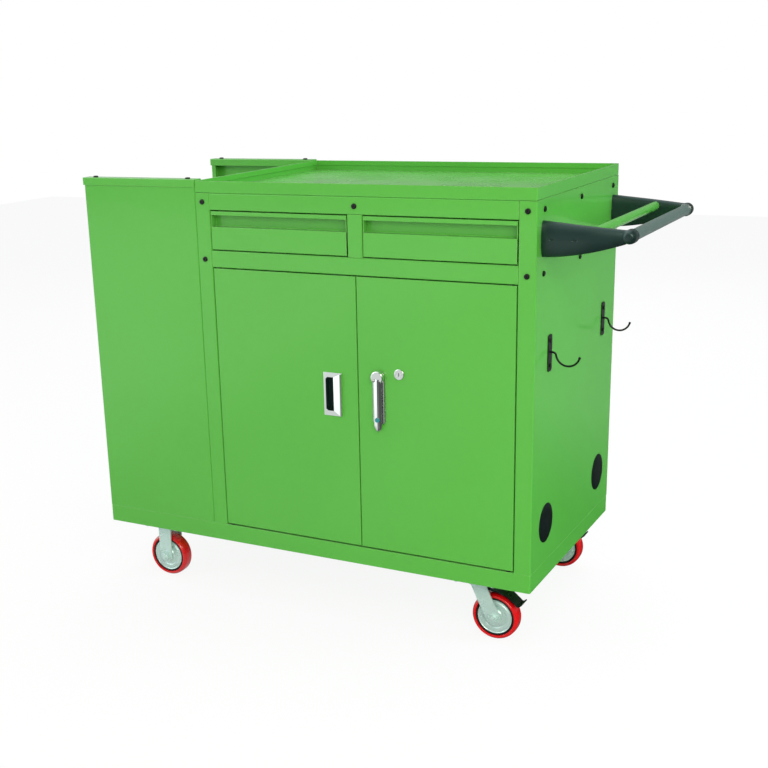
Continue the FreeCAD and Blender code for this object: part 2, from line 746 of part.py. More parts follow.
x_pull = x_mid - pull_centre_in
z_pull = z_base + pull_centre_z
cup_x = (x_pull - pull_width / 2 + pull_frame, x_pull + pull_width / 2 - pull_wing)
cup_z = (z_pull - pull_height / 2 + 2 * pull_frame, z_pull + pull_height / 2 - 2 * pull_frame)
left_door = door_pan(x_open_left + reveal, x_mid - reveal / 2, x_pivot_left)
cup_room = pull_cup_wall + pull_cup_gap
left_door = less(left_door, [block(cup_x[0] - cup_room, cup_x[1] + cup_room, y_front - sheet,
                                   y_front + 2 * sheet, cup_z[0] - cup_room, cup_z[1] + cup_room)])
write("door_left", left_door)

bezel_x = (x_pull - pull_width / 2, x_pull + pull_width / 2)
bezel_z = (z_pull - pull_height / 2, z_pull + pull_height / 2)
y_bezel = y_front - pull_bezel_t
y_wing = y_bezel - pull_wing_rise
bezel_outline = [(bezel_x[0], y_front), (bezel_x[0], y_bezel), (cup_x[1], y_bezel),
                 (bezel_x[1] - pull_wing_flat, y_wing), (bezel_x[1], y_wing + pull_edge_round),
                 (bezel_x[1], y_front)]
bezel = prism([V(x, y, bezel_z[0]) for x, y in bezel_outline], [0, pull_edge_round, 0, pull_wing_round, 0, 0],
              Z_AXIS * pull_height)


def wing_mitre(z_corner, z_edge):
    # what stands above the bezel's flat face outside the wing's slanting end
    corners = [V(cup_x[1], y_bezel, z_corner), V(bezel_x[1] + over, y_bezel, z_edge),
               V(bezel_x[1] + over, y_bezel, 2 * z_edge - z_corner),
               V(cup_x[1], y_bezel, 2 * z_edge - z_corner)]
    return prism(corners, [0] * len(corners), -Y_AXIS * (pull_wing_rise + over))


opening = [V(cup_x[0] + pull_corner, y_wing, cup_z[0]), V(cup_x[1], y_wing, cup_z[0]),
           V(cup_x[1], y_wing, cup_z[1]),
           V(cup_x[0] + pull_corner, y_wing, cup_z[1]), V(cup_x[0], y_wing, cup_z[1] - pull_corner),
           V(cup_x[0], y_wing, cup_z[0] + pull_corner)]
bezel = less(bezel, [prism(opening, [0] * len(opening), Y_AXIS * (y_front - y_wing + over)),
                     wing_mitre(cup_z[0], bezel_z[0]), wing_mitre(cup_z[1], bezel_z[1])])
write("pull_bezel", bezel)
cup = block(cup_x[0] - pull_cup_wall, cup_x[1] + pull_cup_wall, y_front, y_front + pull_cup_depth,
            cup_z[0] - pull_cup_wall, cup_z[1] + pull_cup_wall)
cup = cup.makeFillet(pull_cup_round,
                     [e for e in cup.Edges if e.BoundBox.YMin > y_front + pull_cup_depth - sheet])
cup = less(cup, [block(cup_x[0], cup_x[1], y_front - sheet, y_front + pull_cup_depth - pull_cup_wall,
                       cup_z[0],
                       cup_z[1])])
write("pull_cup", cup)

z_head = z_base + lever_top_z - head_r
x_lock = x_mid + lock_centre_in
z_lock = z_base + lock_centre_z
lock_at = V(x_lock, y_front, z_lock)
head_at = V(x_lever, y_front, z_head)
right_door = door_pan(x_mid + reveal / 2, x_open_right - reveal, x_pivot_right)
right_door = less(right_door, [rod(head_at - Y_AXIS * sheet, Y_AXIS, spindle_hole_r, 3 * sheet),
                               rod(lock_at - Y_AXIS * sheet, Y_AXIS, lock_body_r, 3 * sheet)])
write("door_right", right_door)

pins = []
for x in (x_pivot_left, x_pivot_right):
    pins.append(joined([rod(V(x, y_pivot, z_deck - 2 * sheet), Z_AXIS, pivot_r,
                            2 * sheet + door_foot + pivot_reach - sheet),
                        rod(V(x, y_pivot, z_deck), Z_AXIS, pin_collar_r, door_foot - face_gap)]))
    pins.append(joined([rod(V(x, y_pivot, z_door_top - pivot_reach + sheet), Z_AXIS, pivot_r,
                            pivot_reach + reveal + pin_head_h),
                        rod(V(x, y_pivot, z_door_top_rail + sheet), Z_AXIS, pin_head_r, pin_head_h),
                        rod(V(x, y_pivot, z_door_top + face_gap), Z_AXIS, pin_collar_r, reveal - face_gap)]))
write("door_pivot_pins", group(pins))

catch_x = x_mid - catch_from_middle
catch_y = y_front + flange + catch_back
catch = joined([
    block(catch_x, catch_x + catch_w, y_front + door_depth + face_gap, catch_y + catch_deep,
          z_door_top_rail - catch_tall - reveal, z_door_top_rail),
    block(catch_x, catch_x + catch_w, catch_y + catch_deep - 2 * sheet, catch_y + catch_deep,
          z_door_top_rail - catch_tall, z_drawer_deck - sheet)])
write("magnetic_catch", catch)

# ---------------------------------------------------------------- drawers and runners
z_front_top = z_drawer_top - reveal
z_front_foot = z_drawer_foot + reveal
z_ledge = z_front_top - pull_lip - pull_mouth
y_box = y_front + pull_depth + sheet
z_box = z_drawer_deck + drawer_floor_lift
runner_mid_z = z_box + drawer_box_height / 2
y_runner = y_front + flange + 4 * sheet
openings_x = {"left": (x_open_left, x_mid - half_mullion), "right": (x_mid + half_mullion, x_open_right)}


def drawer_face(x0, x1):
    path = [V(x1, y_front + door_lip, z_front_foot), V(x1, y_front, z_front_foot), V(x1, y_front, z_ledge),
            V(x1, y_front + pull_depth, z_ledge), V(x1, y_front + pull_depth, z_front_top - sheet),
            V(x1, y_front + sheet, z_front_top - sheet),
            V(x1, y_front + sheet, z_front_top - pull_lip + sheet),
            V(x1, y_front + pull_return, z_front_top - pull_lip + sheet)]
    ends = [block(x, x + way * sheet, y_front + sheet, y_front + pull_depth + sheet / 2, z_ledge - sheet / 2,
                  z_front_top - sheet / 2) for x, way in ((x0, 1), (x1, -1))]
    return joined([folded(path, sheet, drawer_bend, X_AXIS * (x0 - x1))] + ends)


def drawer_box(x0, x1):
    body = block(x0, x1, y_box, y_front + drawer_length, z_box, z_box + drawer_box_height)
    lower = [e for e in along_edges(body, Y_AXIS) if e.CenterOfMass.z < z_box + drawer_wall]
    body = body.makeFillet(bend + drawer_wall, lower)
    return less(body, [block(x0 + drawer_wall, x1 - drawer_wall, y_box + drawer_wall,
                             y_front + drawer_length - drawer_wall, z_box + drawer_wall,
                             z_box + 2 * drawer_box_height)])


def channel(x_web, way, web_t, reach, height):
    # C-section along Y, its web at x_web and its flanges towards way
    y0 = y_runner
    y1 = y_runner + runner_length
    low = runner_mid_z - height / 2
    high = runner_mid_z + height / 2
    return joined([block(x_web, x_web + way * web_t, y0, y1, low, high),
                   block(x_web, x_web + way * reach, y0, y1, low, low + web_t),
                   block(x_web, x_web + way * reach, y0, y1, high - web_t, high)])


middle_height = runner_height - 2 * (member_t + runner_gap)
inner_height = middle_height - 2 * (member_t + runner_gap)
middle_web = member_t + runner_gap
inner_reach = runner_width - middle_web - member_t - runner_gap
outer_members = []
middles = {"left": [], "right": []}
inners = {"left": [], "right": []}
for side, (low_x, high_x) in openings_x.items():
    for edge, way in ((low_x, 1), (high_x, -1)):
        outer = channel(edge, way, member_t, runner_width - 1.5 * member_t - runner_gap, runner_height)
        on_divider = abs(edge - x_mid) < cabinet_width / 4
        if on_divider:
            wall = x_mid + way * sheet / 2
        else:
            wall = inner_left if way > 0 else inner_right
        feet = [block(wall, edge, y, y + foot_w, runner_mid_z - foot_h / 2, runner_mid_z + foot_h / 2)
                for y in (y_runner + 2 * foot_w, y_runner + runner_length - 2 * foot_w)]
        feet = [less(foot, [block(wall - way * over, edge + way * over, foot.BoundBox.YMin + sheet,
                                  foot.BoundBox.YMax + over, runner_mid_z - foot_h / 2 + sheet,
                                  runner_mid_z + foot_h / 2 - sheet)]) for foot in feet]
        outer_members.append(joined([outer] + feet))
        middles[side].append(channel(edge + way * middle_web, way, member_t,
                                     runner_width - middle_web - member_t - 3 * runner_gap, middle_height))
        inners[side].append(channel(edge + way * runner_width, -way, member_t, inner_reach, inner_height))
write("runner_outer_members", group(outer_members))
for side, (low_x, high_x) in openings_x.items():
    write("drawer_front_" + side, drawer_face(low_x + reveal, high_x - reveal))
    write("drawer_box_" + side, drawer_box(low_x + runner_width, high_x - runner_width))
    write("runner_middle_" + side, group(middles[side]))
    write("runner_inner_" + side, group(inners[side]))

# ---------------------------------------------------------------- swing handle on the right door
base_foot = V(x_lever, y_front, z_base + lever_top_z - lever_base_h)
half_base = lever_base_w / 2
z_lever_top = z_base + lever_top_z


def front_plate(points, radii, y0, y1):
    moved = [V(p[0], y0, p[1]) for p in points]
    return prism(moved, radii, Y_AXIS * (y1 - y0))


handle_base = front_plate([(x_lever - half_base, z_lever_top), (x_lever + half_base, z_lever_top),
                           (x_lever + half_base, base_foot.z), (x_lever - half_base, base_foot.z)],
                          [lever_base_top_r, lever_base_top_r, lever_base_corner, lever_base_corner],
                          y_front - lever_base_t, y_front)
outer_rim = [e for e in handle_base.Edges if e.BoundBox.YMax < y_front - lever_base_t / 2]
handle_base = handle_base.makeFillet(lever_base_round, outer_rim)
handle_base = less(handle_base, [rod(head_at - Y_AXIS * 2 * lever_base_t, Y_AXIS, spindle_hole_r,
                                     3 * lever_base_t)])
write("handle_base", handle_base)

y_head_back = y_front - lever_base_t - face_gap
y_disc = y_front + door_depth - cam_disc_t
slot_w = lever_w + 2 * face_gap
pin_z = z_head - lever_pin_drop
y_lever_back = y_head_back - lever_wall - face_gap
y_lever_mid = y_lever_back - lever_t / 2
yoke_r = rod_shift / (2 * math.sin(math.pi / 4))
head = rod(V(x_lever, y_head_back, z_head), -Y_AXIS, head_r, head_t)
head = head.makeFillet(head_round, [e for e in head.Edges if e.BoundBox.YMax < y_head_back - head_t / 2])
head = less(head, [
    block(x_lever - slot_w / 2, x_lever + slot_w / 2, y_head_back - lever_wall, y_head_back - 2 * head_t,
          z_head - 2 * head_r, pin_z + lever_t / 2 + face_gap),
    rod(V(x_lever - head_r, y_lever_mid, pin_z), X_AXIS, lever_pin_r, 2 * head_r)])
spindle = rod(V(x_lever, y_head_back, z_head), Y_AXIS, spindle_r, y_disc - y_head_back)
disc = rod(V(x_lever, y_disc, z_head), Y_AXIS, cam_disc_r, cam_disc_t)
yoke_pins = []
for way in (1, -1):
    at = V(x_lever + way * rod_shift / 2, y_disc + cam_disc_t, z_head - way * rod_shift / 2)
    yoke_pins.append(rod(at, Y_AXIS, yoke_pin_r, y_rod + rod_t - y_disc - cam_disc_t))
head = joined([head, spindle, disc] + yoke_pins)
pin_half = math.sqrt(head_r ** 2 - lever_pin_drop ** 2) - lever_pin_short
lever_pin = rod(V(x_lever - pin_half, y_lever_mid, pin_z), X_AXIS, lever_pin_r, 2 * pin_half)
write("handle_head", group([head, lever_pin]))

half_lever = lever_w / 2
z_tip = z_lever_top - lever_total
lever = front_plate([(x_lever - half_lever, pin_z + lever_t / 2), (x_lever + half_lever, pin_z + lever_t / 2),
                     (x_lever + half_lever, z_tip + lever_taper), (x_lever + lever_tip_half, z_tip),
                     (x_lever - lever_tip_half, z_tip), (x_lever - half_lever, z_tip + lever_taper)],
                    [0, 0, lever_taper_r, lever_tip_r, lever_tip_r, lever_taper_r], y_lever_mid - lever_t / 2,
                    y_lever_mid + lever_t / 2)
side_view = prism([V(x_lever - lever_w, y_lever_mid - lever_t / 2, z_tip - over),
                   V(x_lever - lever_w, y_lever_mid - lever_t / 2, pin_z + lever_t / 2),
                   V(x_lever - lever_w, y_lever_mid + lever_t / 2, pin_z + lever_t / 2),
                   V(x_lever - lever_w, y_lever_mid + lever_t / 2, z_tip - over)],
                  [0, lever_t / 2 - round_slack, lever_t / 2 - round_slack, 0], X_AXIS * 2 * lever_w)
lever = lever.common(side_view)
front_long = [e for e in along_edges(lever, Z_AXIS) if e.CenterOfMass.y < y_lever_mid - lever_t / 4]
lever = lever.makeFillet(lever_round, front_long)
z_button = z_lever_top - button_from_top
button_well = button_travel + button_spare
y_lever_front = y_lever_mid - lever_t / 2
lever = less(lever, [rod(V(x_lever, y_lever_front - over, z_button), Y_AXIS, button_r + face_gap,
                         over + button_stub + button_well),
                     rod(V(x_lever - lever_w, y_lever_mid, pin_z), X_AXIS, lever_pin_hole_r, 2 * lever_w)])
write("handle_lever", lever)
button = rod(V(x_lever, y_lever_front - button_rise, z_button), Y_AXIS, button_r, button_rise + button_stub)
button = button.makeFillet(button_round, [e for e in button.Edges if e.BoundBox.YMax < y_lever_front])
write("lever_button", button)

yoke_outer = yoke_r + yoke_pin_r + yoke_slot_gap + yoke_wall
slot_half = yoke_pin_r + yoke_slot_gap
z_latched_top = z_door_top_rail - rod_tip_gap
z_latched_foot = z_deck + rod_tip_gap
for name, way, z_far in (("latch_rod_upper", 1, z_latched_top), ("latch_rod_lower", -1, z_latched_foot)):
    x_rod = x_lever + way * rod_shift / 2
    z_pin = z_head - way * rod_shift / 2
    yoke = block(x_lever + way * yoke_apart, x_lever + way * yoke_outer, y_rod, y_rod + rod_t,
                 z_pin - yoke_h / 2, z_pin + yoke_h / 2)
    stem = block(x_rod - rod_w / 2, x_rod + rod_w / 2, y_rod, y_rod + rod_t, z_pin, z_far)
    slot = block(x_rod - way * slot_half, x_lever + way * (yoke_r + slot_half), y_rod - rod_t,
                 y_rod + 2 * rod_t, z_pin - slot_half, z_pin + slot_half)
    write(name, less(joined([yoke, stem]), [slot]))


def rod_guide(x_rod, z_low):
    y_lip = y_front + door_depth
    y_far = y_rod + rod_t + face_gap + guide_wall
    half = rod_w / 2 + face_gap
    arch = joined([
        block(x_rod - half - guide_wall, x_rod + half + guide_wall, y_lip, y_far, z_low,
              z_low + guide_height),
        block(x_rod - half - guide_wall - guide_ear, x_rod + half + guide_wall + guide_ear, y_lip,
              y_lip + guide_wall, z_low, z_low + guide_height)])
    return less(arch, [block(x_rod - half, x_rod + half, y_lip - sheet, y_far - guide_wall, z_low - sheet,
                             z_low + guide_height + sheet)])


guides = [rod_guide(x_rod_lower, z_door_foot + guide_inset),
          rod_guide(x_rod_upper, z_door_top - guide_inset - guide_height)]
write("rod_guides", group([solid for guide in guides for solid in guide.Solids]))

# ---------------------------------------------------------------- keyed lock
flange_disc = rod(V(x_lock, y_front - lock_face_t, z_lock), Y_AXIS, lock_face_r, lock_face_t)
face_rim = [e for e in flange_disc.Edges if e.BoundBox.YMax < y_front - lock_face_t / 2]
flange_disc = flange_disc.makeFillet(lock_round, face_rim)
lock_body = joined([flange_disc, rod(V(x_lock, y_front, z_lock), Y_AXIS, lock_body_r,
                                     lock_length - lock_face_t)])
lock_body = less(lock_body, [rod(V(x_lock, y_front - 2 * lock_face_t, z_lock), Y_AXIS, lock_plug_hole_r,
                                 2 * lock_length)])
lock_nut = less(prism_hex(V(x_lock, y_front + sheet, z_lock), Y_AXIS, lock_nut_r, lock_nut_t),
                [rod(V(x_lock, y_front, z_lock), Y_AXIS, lock_body_r, 2 * lock_nut_t)])
write("lock_housing", group([lock_body, lock_nut]))
y_cam = y_front - lock_face_t + lock_length + face_gap
plug = rod(V(x_lock, y_front - lock_face_t, z_lock), Y_AXIS, lock_plug_r,
           y_cam + lock_cam_t - y_front + lock_face_t)
plug = less(plug, [block(x_lock - key_slot_w / 2, x_lock + key_slot_w / 2, y_front - 2 * lock_face_t,
                         y_front + 2 * lock_face_t, z_lock - key_slot_h / 2, z_lock + key_slot_h / 2)])
cam = front_plate([(x_lock - lock_cam_top_half, z_lock + lock_cam_rise),
                   (x_lock + lock_cam_top_half, z_lock + lock_cam_rise),
                   (x_lock + lock_cam_tip_half, z_lock - lock_cam_length),
                   (x_lock - lock_cam_tip_half, z_lock - lock_cam_length)],
                  [lock_cam_top_r, lock_cam_top_r, lock_cam_tip_r, lock_cam_tip_r], y_cam, y_cam + lock_cam_t)
write("lock_plug", joined([plug, cam]))

# ---------------------------------------------------------------- push handle
z_tip_axis = z_base + arm_tip_height
x_tip = x_right + arm_tip_reach
# share of the reach, inward shift, thickness, rise above the root, height
arm_stations = [(0.0, 0.0, arm_thick, 0.0, arm_root_height), (0.3, 0.0, arm_thick, 1.5, 60.0),
                (0.6, 1.5, arm_thick - 1.0, 5.0, 47.0), (0.8, 5.5, arm_thick - 2.0, 7.0, 37.5),
                (0.94, arm_elbow / 2, arm_thick - 4.0, arm_root_drop - arm_tip_drop, 2 * arm_tip_r - 3.0)]
y_arm = y_front + arm_inset
y_knuckle = y_arm + arm_elbow / 2 - 3.0


def arm_section(share, shift, thick, rise, high):
    x = x_right + share * arm_tip_reach
    y0 = y_arm + shift
    z0 = z_base + arm_root_mid + rise - high / 2
    corners = [V(x, y0, z0), V(x, y0 + thick, z0), V(x, y0 + thick, z0 + high), V(x, y0, z0 + high)]
    return corner_wire(corners, [arm_fillet] * 4)


def push_arm():
    body = Part.makeLoft([arm_section(*s) for s in arm_stations], True, False)
    y_end = y_arm + arm_elbow + collar_length
    tip = rod(V(x_tip, y_knuckle, z_tip_axis), Y_AXIS, collar_r, y_end - y_knuckle)
    tip = tip.makeFillet(arm_tip_round, [e for e in tip.Edges if e.BoundBox.YMax < y_arm + arm_elbow / 2])
    arm = joined([body, tip])
    grooves = []
    for k in (1, 2):
        at = V(x_tip, y_end - k * collar_length / 4, z_tip_axis)
        ring = rod(at, Y_AXIS, collar_r + over, collar_groove)
        grooves.append(less(ring, [rod(at - Y_AXIS * over, Y_AXIS, collar_r - collar_groove,
                                       collar_groove + 2 * over)]))
    bore = rod(V(x_tip, y_end - grip_insert, z_tip_axis), Y_AXIS, grip_r, grip_insert + over)
    z_dent = z_base + arm_root_mid
    dents = [block(x_right + x - arm_dent_w / 2, x_right + x + arm_dent_w / 2, y_arm - over,
                   y_arm + arm_dent_depth,
                   z_dent - arm_dent_h / 2, z_dent + arm_dent_h / 2) for x in arm_dents]
    bar_seat = rod(V(x_right + cross_bar_reach, y_bar, z_base + cross_bar_height), Y_AXIS, cross_bar_r,
                   3 * arm_thick)
    return less(arm, grooves + [bore, bar_seat] + dents), y_end


y_bar = y_arm + arm_thick - cross_bar_seat
front_arm, y_collar = push_arm()
write("handle_arm_front", front_arm)
write("handle_arm_rear", front_arm.mirror(V(0, y_mid, 0), Y_AXIS))
grip_length = 2 * (y_mid - y_collar + grip_insert)
grip = less(rod(V(x_tip, y_mid - grip_length / 2, z_tip_axis), Y_AXIS, grip_r, grip_length),
            [rod(V(x_tip, y_mid - grip_length / 2 - over, z_tip_axis), Y_AXIS, grip_r - tube_wall,
                 grip_length + 2 * over)])
write("handle_grip_tube", grip)
bar_length = 2 * (y_mid - y_bar)
bar_at = V(x_right + cross_bar_reach, y_bar, z_base + cross_bar_height)
bar = less(rod(bar_at, Y_AXIS, cross_bar_r, bar_length),
           [rod(bar_at - Y_AXIS * over, Y_AXIS, cross_bar_r - tube_wall, bar_length + 2 * over)])
write("handle_cross_bar", bar)


# ---------------------------------------------------------------- hooks and round covers
def turned(centre, radius, degrees):
    # point of a circle in the hook's plane, degrees from +X towards +Z
    a = math.radians(degrees)
    return centre + V(radius * math.cos(a), 0, radius * math.sin(a))


def circle_arc(centre, radius, start, stop):
    ends = [turned(centre, radius, a) for a in (start, (start + stop) / 2, stop)]
    return Part.Arc(*ends).toShape()


hook_out = (hook_neck_r + hook_bend_r) * math.sin(math.radians(hook_fall))
hook_down = hook_neck_r - (hook_neck_r + hook_bend_r) * math.cos(math.radians(hook_fall))
hook_bowl = V(hook_plate_t + hook_stub + hook_out, 0, hook_stub_rise - hook_down)


def tool_hook(at):
    plate = rounded_box(at.x, at.x + hook_plate_t, at.y - hook_plate_w / 2, at.y + hook_plate_w / 2,
                        at.z - hook_plate_h / 2, at.z + hook_plate_h / 2, hook_plate_corner, X_AXIS)
    plate = less(plate, [rod(V(at.x - over, at.y, at.z + side * hook_screw_pitch / 2), X_AXIS,
                             hook_screw_hole_r, hook_plate_t + 2 * over) for side in (-1, 1)])
    root = at + V(hook_plate_t / 2, 0, hook_stub_rise)
    neck = at + V(hook_plate_t + hook_stub, 0, hook_stub_rise - hook_neck_r)
    bowl = at + hook_bowl
    path = Part.Wire([Part.LineSegment(root, turned(neck, hook_neck_r, 90)).toShape(),
                      circle_arc(neck, hook_neck_r, 90, 90 - hook_fall),
                      circle_arc(bowl, hook_bend_r, 270 - hook_fall, 270 + hook_lift)])
    ring = Part.Wire(Part.Circle(root, X_AXIS, hook_wire_r).toShape())
    wire = path.makePipeShell([ring], True, False)
    tip = Part.makeSphere(hook_tip_r, turned(bowl, hook_bend_r, 270 + hook_lift))
    return joined([plate, wire, tip])


write("tool_hooks", group([tool_hook(p) for p in hook_spots]))


def round_cover(at):
    plug_r = cover_hole_r - cover_plug_gap
    middle, shoulder, rim = cover_crown
    half = [V(0, 0, middle), V(cover_r * cover_shoulder, 0, shoulder), V(cover_r, 0, rim), V(cover_r, 0, 0),
            V(plug_r, 0, 0), V(plug_r, 0, -cover_plug),
            V(cover_hole_r - cover_wall, 0, -cover_plug), V(cover_hole_r - cover_wall, 0, 0), V(0, 0, 0)]
    outline = corner_wire(half, [0, cover_crown_r, cover_rim_r] + [0] * (len(half) - 3))
    body = Part.Face(outline).revolve(V(0, 0, 0), Z_AXIS, 360)
    solid = Part.makeSolid(body) if body.ShapeType == "Shell" else body
    solid.rotate(V(0, 0, 0), Y_AXIS, 90)
    solid.translate(at)
    return solid


write("round_covers", group([round_cover(p) for p in cover_spots]))

# ---------------------------------------------------------------- casters
z_axle = wheel_r
z_plate = z_base - plate_t
fork_half = hub_w / 2 + fork_gap + fork_t
x_swivel_wheel = x_swivel + swivel_trail


def revolved(profile, radii, at):
    # turn a profile of (radius, along) about the Y axis through at
    points = [V(r, a, 0) for r, a in profile]
    body = Part.Face(corner_wire(points, radii)).revolve(V(0, 0, 0), Y_AXIS, 360)
    body.translate(at)
    return body


def wheel(at, name):
    half_w = wheel_w / 2
    core_r = wheel_r - tread_t
    seat_r = core_r + tread_seat_gap
    foot_r = core_r + tread_foot
    tread = revolved([(seat_r, -half_w + tread_foot), (foot_r, -half_w), (wheel_r, -half_w),
                      (wheel_r, half_w),
                      (foot_r, half_w), (seat_r, half_w - tread_foot)],
                     [0, tread_foot / 2, tread_round, tread_round, tread_foot / 2, 0], at)
    web = hub_web / 2
    rim_half = half_w - hub_rim_in
    side_profile = [(axle_hole_r, hub_w / 2), (hub_boss_r - 2.0, hub_w / 2), (hub_boss_r, web + 6.0),
                    (hub_boss_r + 5.0, web + 3.0), (core_r - 13.0, web + 2.5), (core_r - 9.0, rim_half - 1.0),
                    (core_r - 4.8, rim_half - 1.0), (core_r - 4.2, rim_half), (core_r, rim_half)]
    profile = side_profile + [(r, -a) for r, a in side_profile[::-1]]
    half_radii = [0, 1.5, 2.0, 2.0, 2.0, 1.5, 0.3, 0.3, 0]
    hub = revolved(profile, half_radii + half_radii[::-1], at)
    write("wheel_tread_" + name, tread)
    write("wheel_hub_" + name, hub)


def axle_bolt(at):
    y0 = at.y - fork_half
    shank = rod(V(at.x, y0, at.z), Y_AXIS, axle_r, 2 * fork_half)
    near = prism_hex(V(at.x, y0, at.z), -Y_AXIS, axle_head_r, axle_head_h)
    far = prism_hex(V(at.x, at.y + fork_half, at.z), Y_AXIS, axle_head_r, axle_head_h)
    stub = rod(V(at.x, y0 - axle_head_h, at.z), -Y_AXIS, axle_r, axle_stub)
    return joined([shank, near, far, stub])


def fork_leg(y, tops, z_top, axle):
    # leg plate from two top points down to a round end about the axle
    left_x, right_x = tops
    centre = V(axle.x, y, axle.z)

    def tangent(top, way):
        away = V(top.x - centre.x, 0, top.z - centre.z)
        spread = math.acos(fork_tip_r / away.Length)
        base_angle = math.atan2(away.z, away.x)
        a = base_angle + way * spread
        return centre + V(math.cos(a), 0, math.sin(a)) * fork_tip_r

    top_l = V(left_x, y, z_top)
    top_r = V(right_x, y, z_top)
    touch_l = tangent(top_l, 1)
    touch_r = tangent(top_r, -1)
    arc = Part.Arc(touch_r, centre - V(0, 0, fork_tip_r), touch_l).toShape()
    edges = [Part.LineSegment(top_l, top_r).toShape(), Part.LineSegment(top_r, touch_r).toShape(), arc,
             Part.LineSegment(touch_l, top_l).toShape()]
    leg = Part.Face(Part.Wire(Part.__sortEdges__(edges))).extrude(Y_AXIS * fork_t)
    return less(leg, [rod(V(axle.x, y - over, axle.z), Y_AXIS, axle_r, fork_t + 2 * over)])


def top_plate(cx, cy):
    plate = rounded_box(cx - plate_x / 2, cx + plate_x / 2, cy - plate_y / 2, cy + plate_y / 2, z_plate,
                        z_base,
                        plate_corner, Z_AXIS)
    spots = [p for p in bolt_spots if abs(p.x - cx) < plate_x and abs(p.y - cy) < plate_y]
    return less(plate, [rod(V(p.x, p.y, z_plate - over), Z_AXIS, bolt_hole_r,
                            plate_t + 2 * over) for p in spots])


brackets = []
for row, cy in zip(("front", "rear"), casters_y):
    axle = V(x_rigid, cy, z_axle)
    half_leg = fork_leg_w / 2
    legs = [fork_leg(cy + y, (x_rigid - half_leg, x_rigid + half_leg), z_plate + plate_t / 2, axle)
            for y in (-fork_half, fork_half - fork_t)]
    brackets.append(joined([top_plate(x_rigid, cy)] + legs))
    brackets.append(axle_bolt(axle))
    wheel(axle, row + "_left")

z_race = z_plate - race_h
z_crown = z_race - face_gap
for row, cy in zip(("front", "rear"), casters_y):
    race = rod(V(x_swivel, cy, z_race), Z_AXIS, race_r, race_h)
    race = race.makeFillet(race_round, [e for e in race.Edges if e.BoundBox.ZMax < z_race + race_h / 2])
    plate = joined([top_plate(x_swivel, cy), race])
    brackets.append(less(plate, [rod(V(x_swivel, cy, z_race - over), Z_AXIS, kingpin_hole_r, race_h + over)]))

    axle = V(x_swivel_wheel, cy, z_axle)
    z_nut = z_crown - fork_crown_h
    crown = rod(V(x_swivel, cy, z_nut), Z_AXIS, race_r - over, fork_crown_h)
    leg_top = (x_swivel - fork_leg_behind, x_swivel + fork_leg_ahead)
    legs = [fork_leg(cy + y, leg_top, z_crown, axle) for y in (-fork_half, fork_half - fork_t)]
    kingpin = rod(V(x_swivel, cy, z_nut - kingpin_tail), Z_AXIS, kingpin_r,
                  race_h + fork_crown_h + kingpin_tail - kingpin_top_gap)
    nut = prism_hex(V(x_swivel, cy, z_nut), -Z_AXIS, kingpin_nut_r, kingpin_nut_h)
    pin_x = axle.x - pedal_pin_behind
    pin_z_at = axle.z + pedal_rise
    pedal_pin = rod(V(pin_x, cy - fork_half - pedal_pin_out, pin_z_at), Y_AXIS, pedal_pin_r,
                    2 * (fork_half + pedal_pin_out))
    fork = joined([crown] + legs + [kingpin, nut, pedal_pin])
    write("swivel_fork_" + row, group([fork, axle_bolt(axle)]))

    clear_r = wheel_r + pedal_tread_gap + pedal_t
    path = [V(axle.x - pedal_heel[0], cy - pedal_w / 2, axle.z + pedal_rise + pedal_heel[1])]
    for turn, further in pedal_bends:
        angle = math.radians(turn)
        path.append(V(axle.x, cy - pedal_w / 2, axle.z) +
                    V(math.sin(angle), 0, math.cos(angle)) * (clear_r + further))
    pedal = folded(path, pedal_t, pedal_bend, Y_AXIS * pedal_w)
    barrel = rod(V(pin_x, cy - pedal_w / 2, pin_z_at), Y_AXIS, pedal_barrel_r, pedal_w)
    pedal = less(joined([pedal, barrel]), [rod(V(pin_x, cy - pedal_w, pin_z_at), Y_AXIS, pedal_hole_r,
                                               2 * pedal_w)])
    write("brake_pedal_" + row, pedal)
    wheel(axle, row + "_right")
write("caster_brackets", group(brackets))

bolts = []
for spot in bolt_spots:
    low = V(spot.x, spot.y, z_plate)
    grip_t = plate_t + base_sheet
    bolts.append(joined([prism_hex(low, -Z_AXIS, bolt_head_r, bolt_head_h),
                         rod(low, Z_AXIS, bolt_r, grip_t + 2 * bolt_head_h),
                         prism_hex(low + Z_AXIS * grip_t, Z_AXIS, bolt_head_r, bolt_head_h)]))
write("caster_bolts", group(bolts))
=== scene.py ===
import json
import math
import bpy
import bmesh
from mathutils import Matrix, Vector


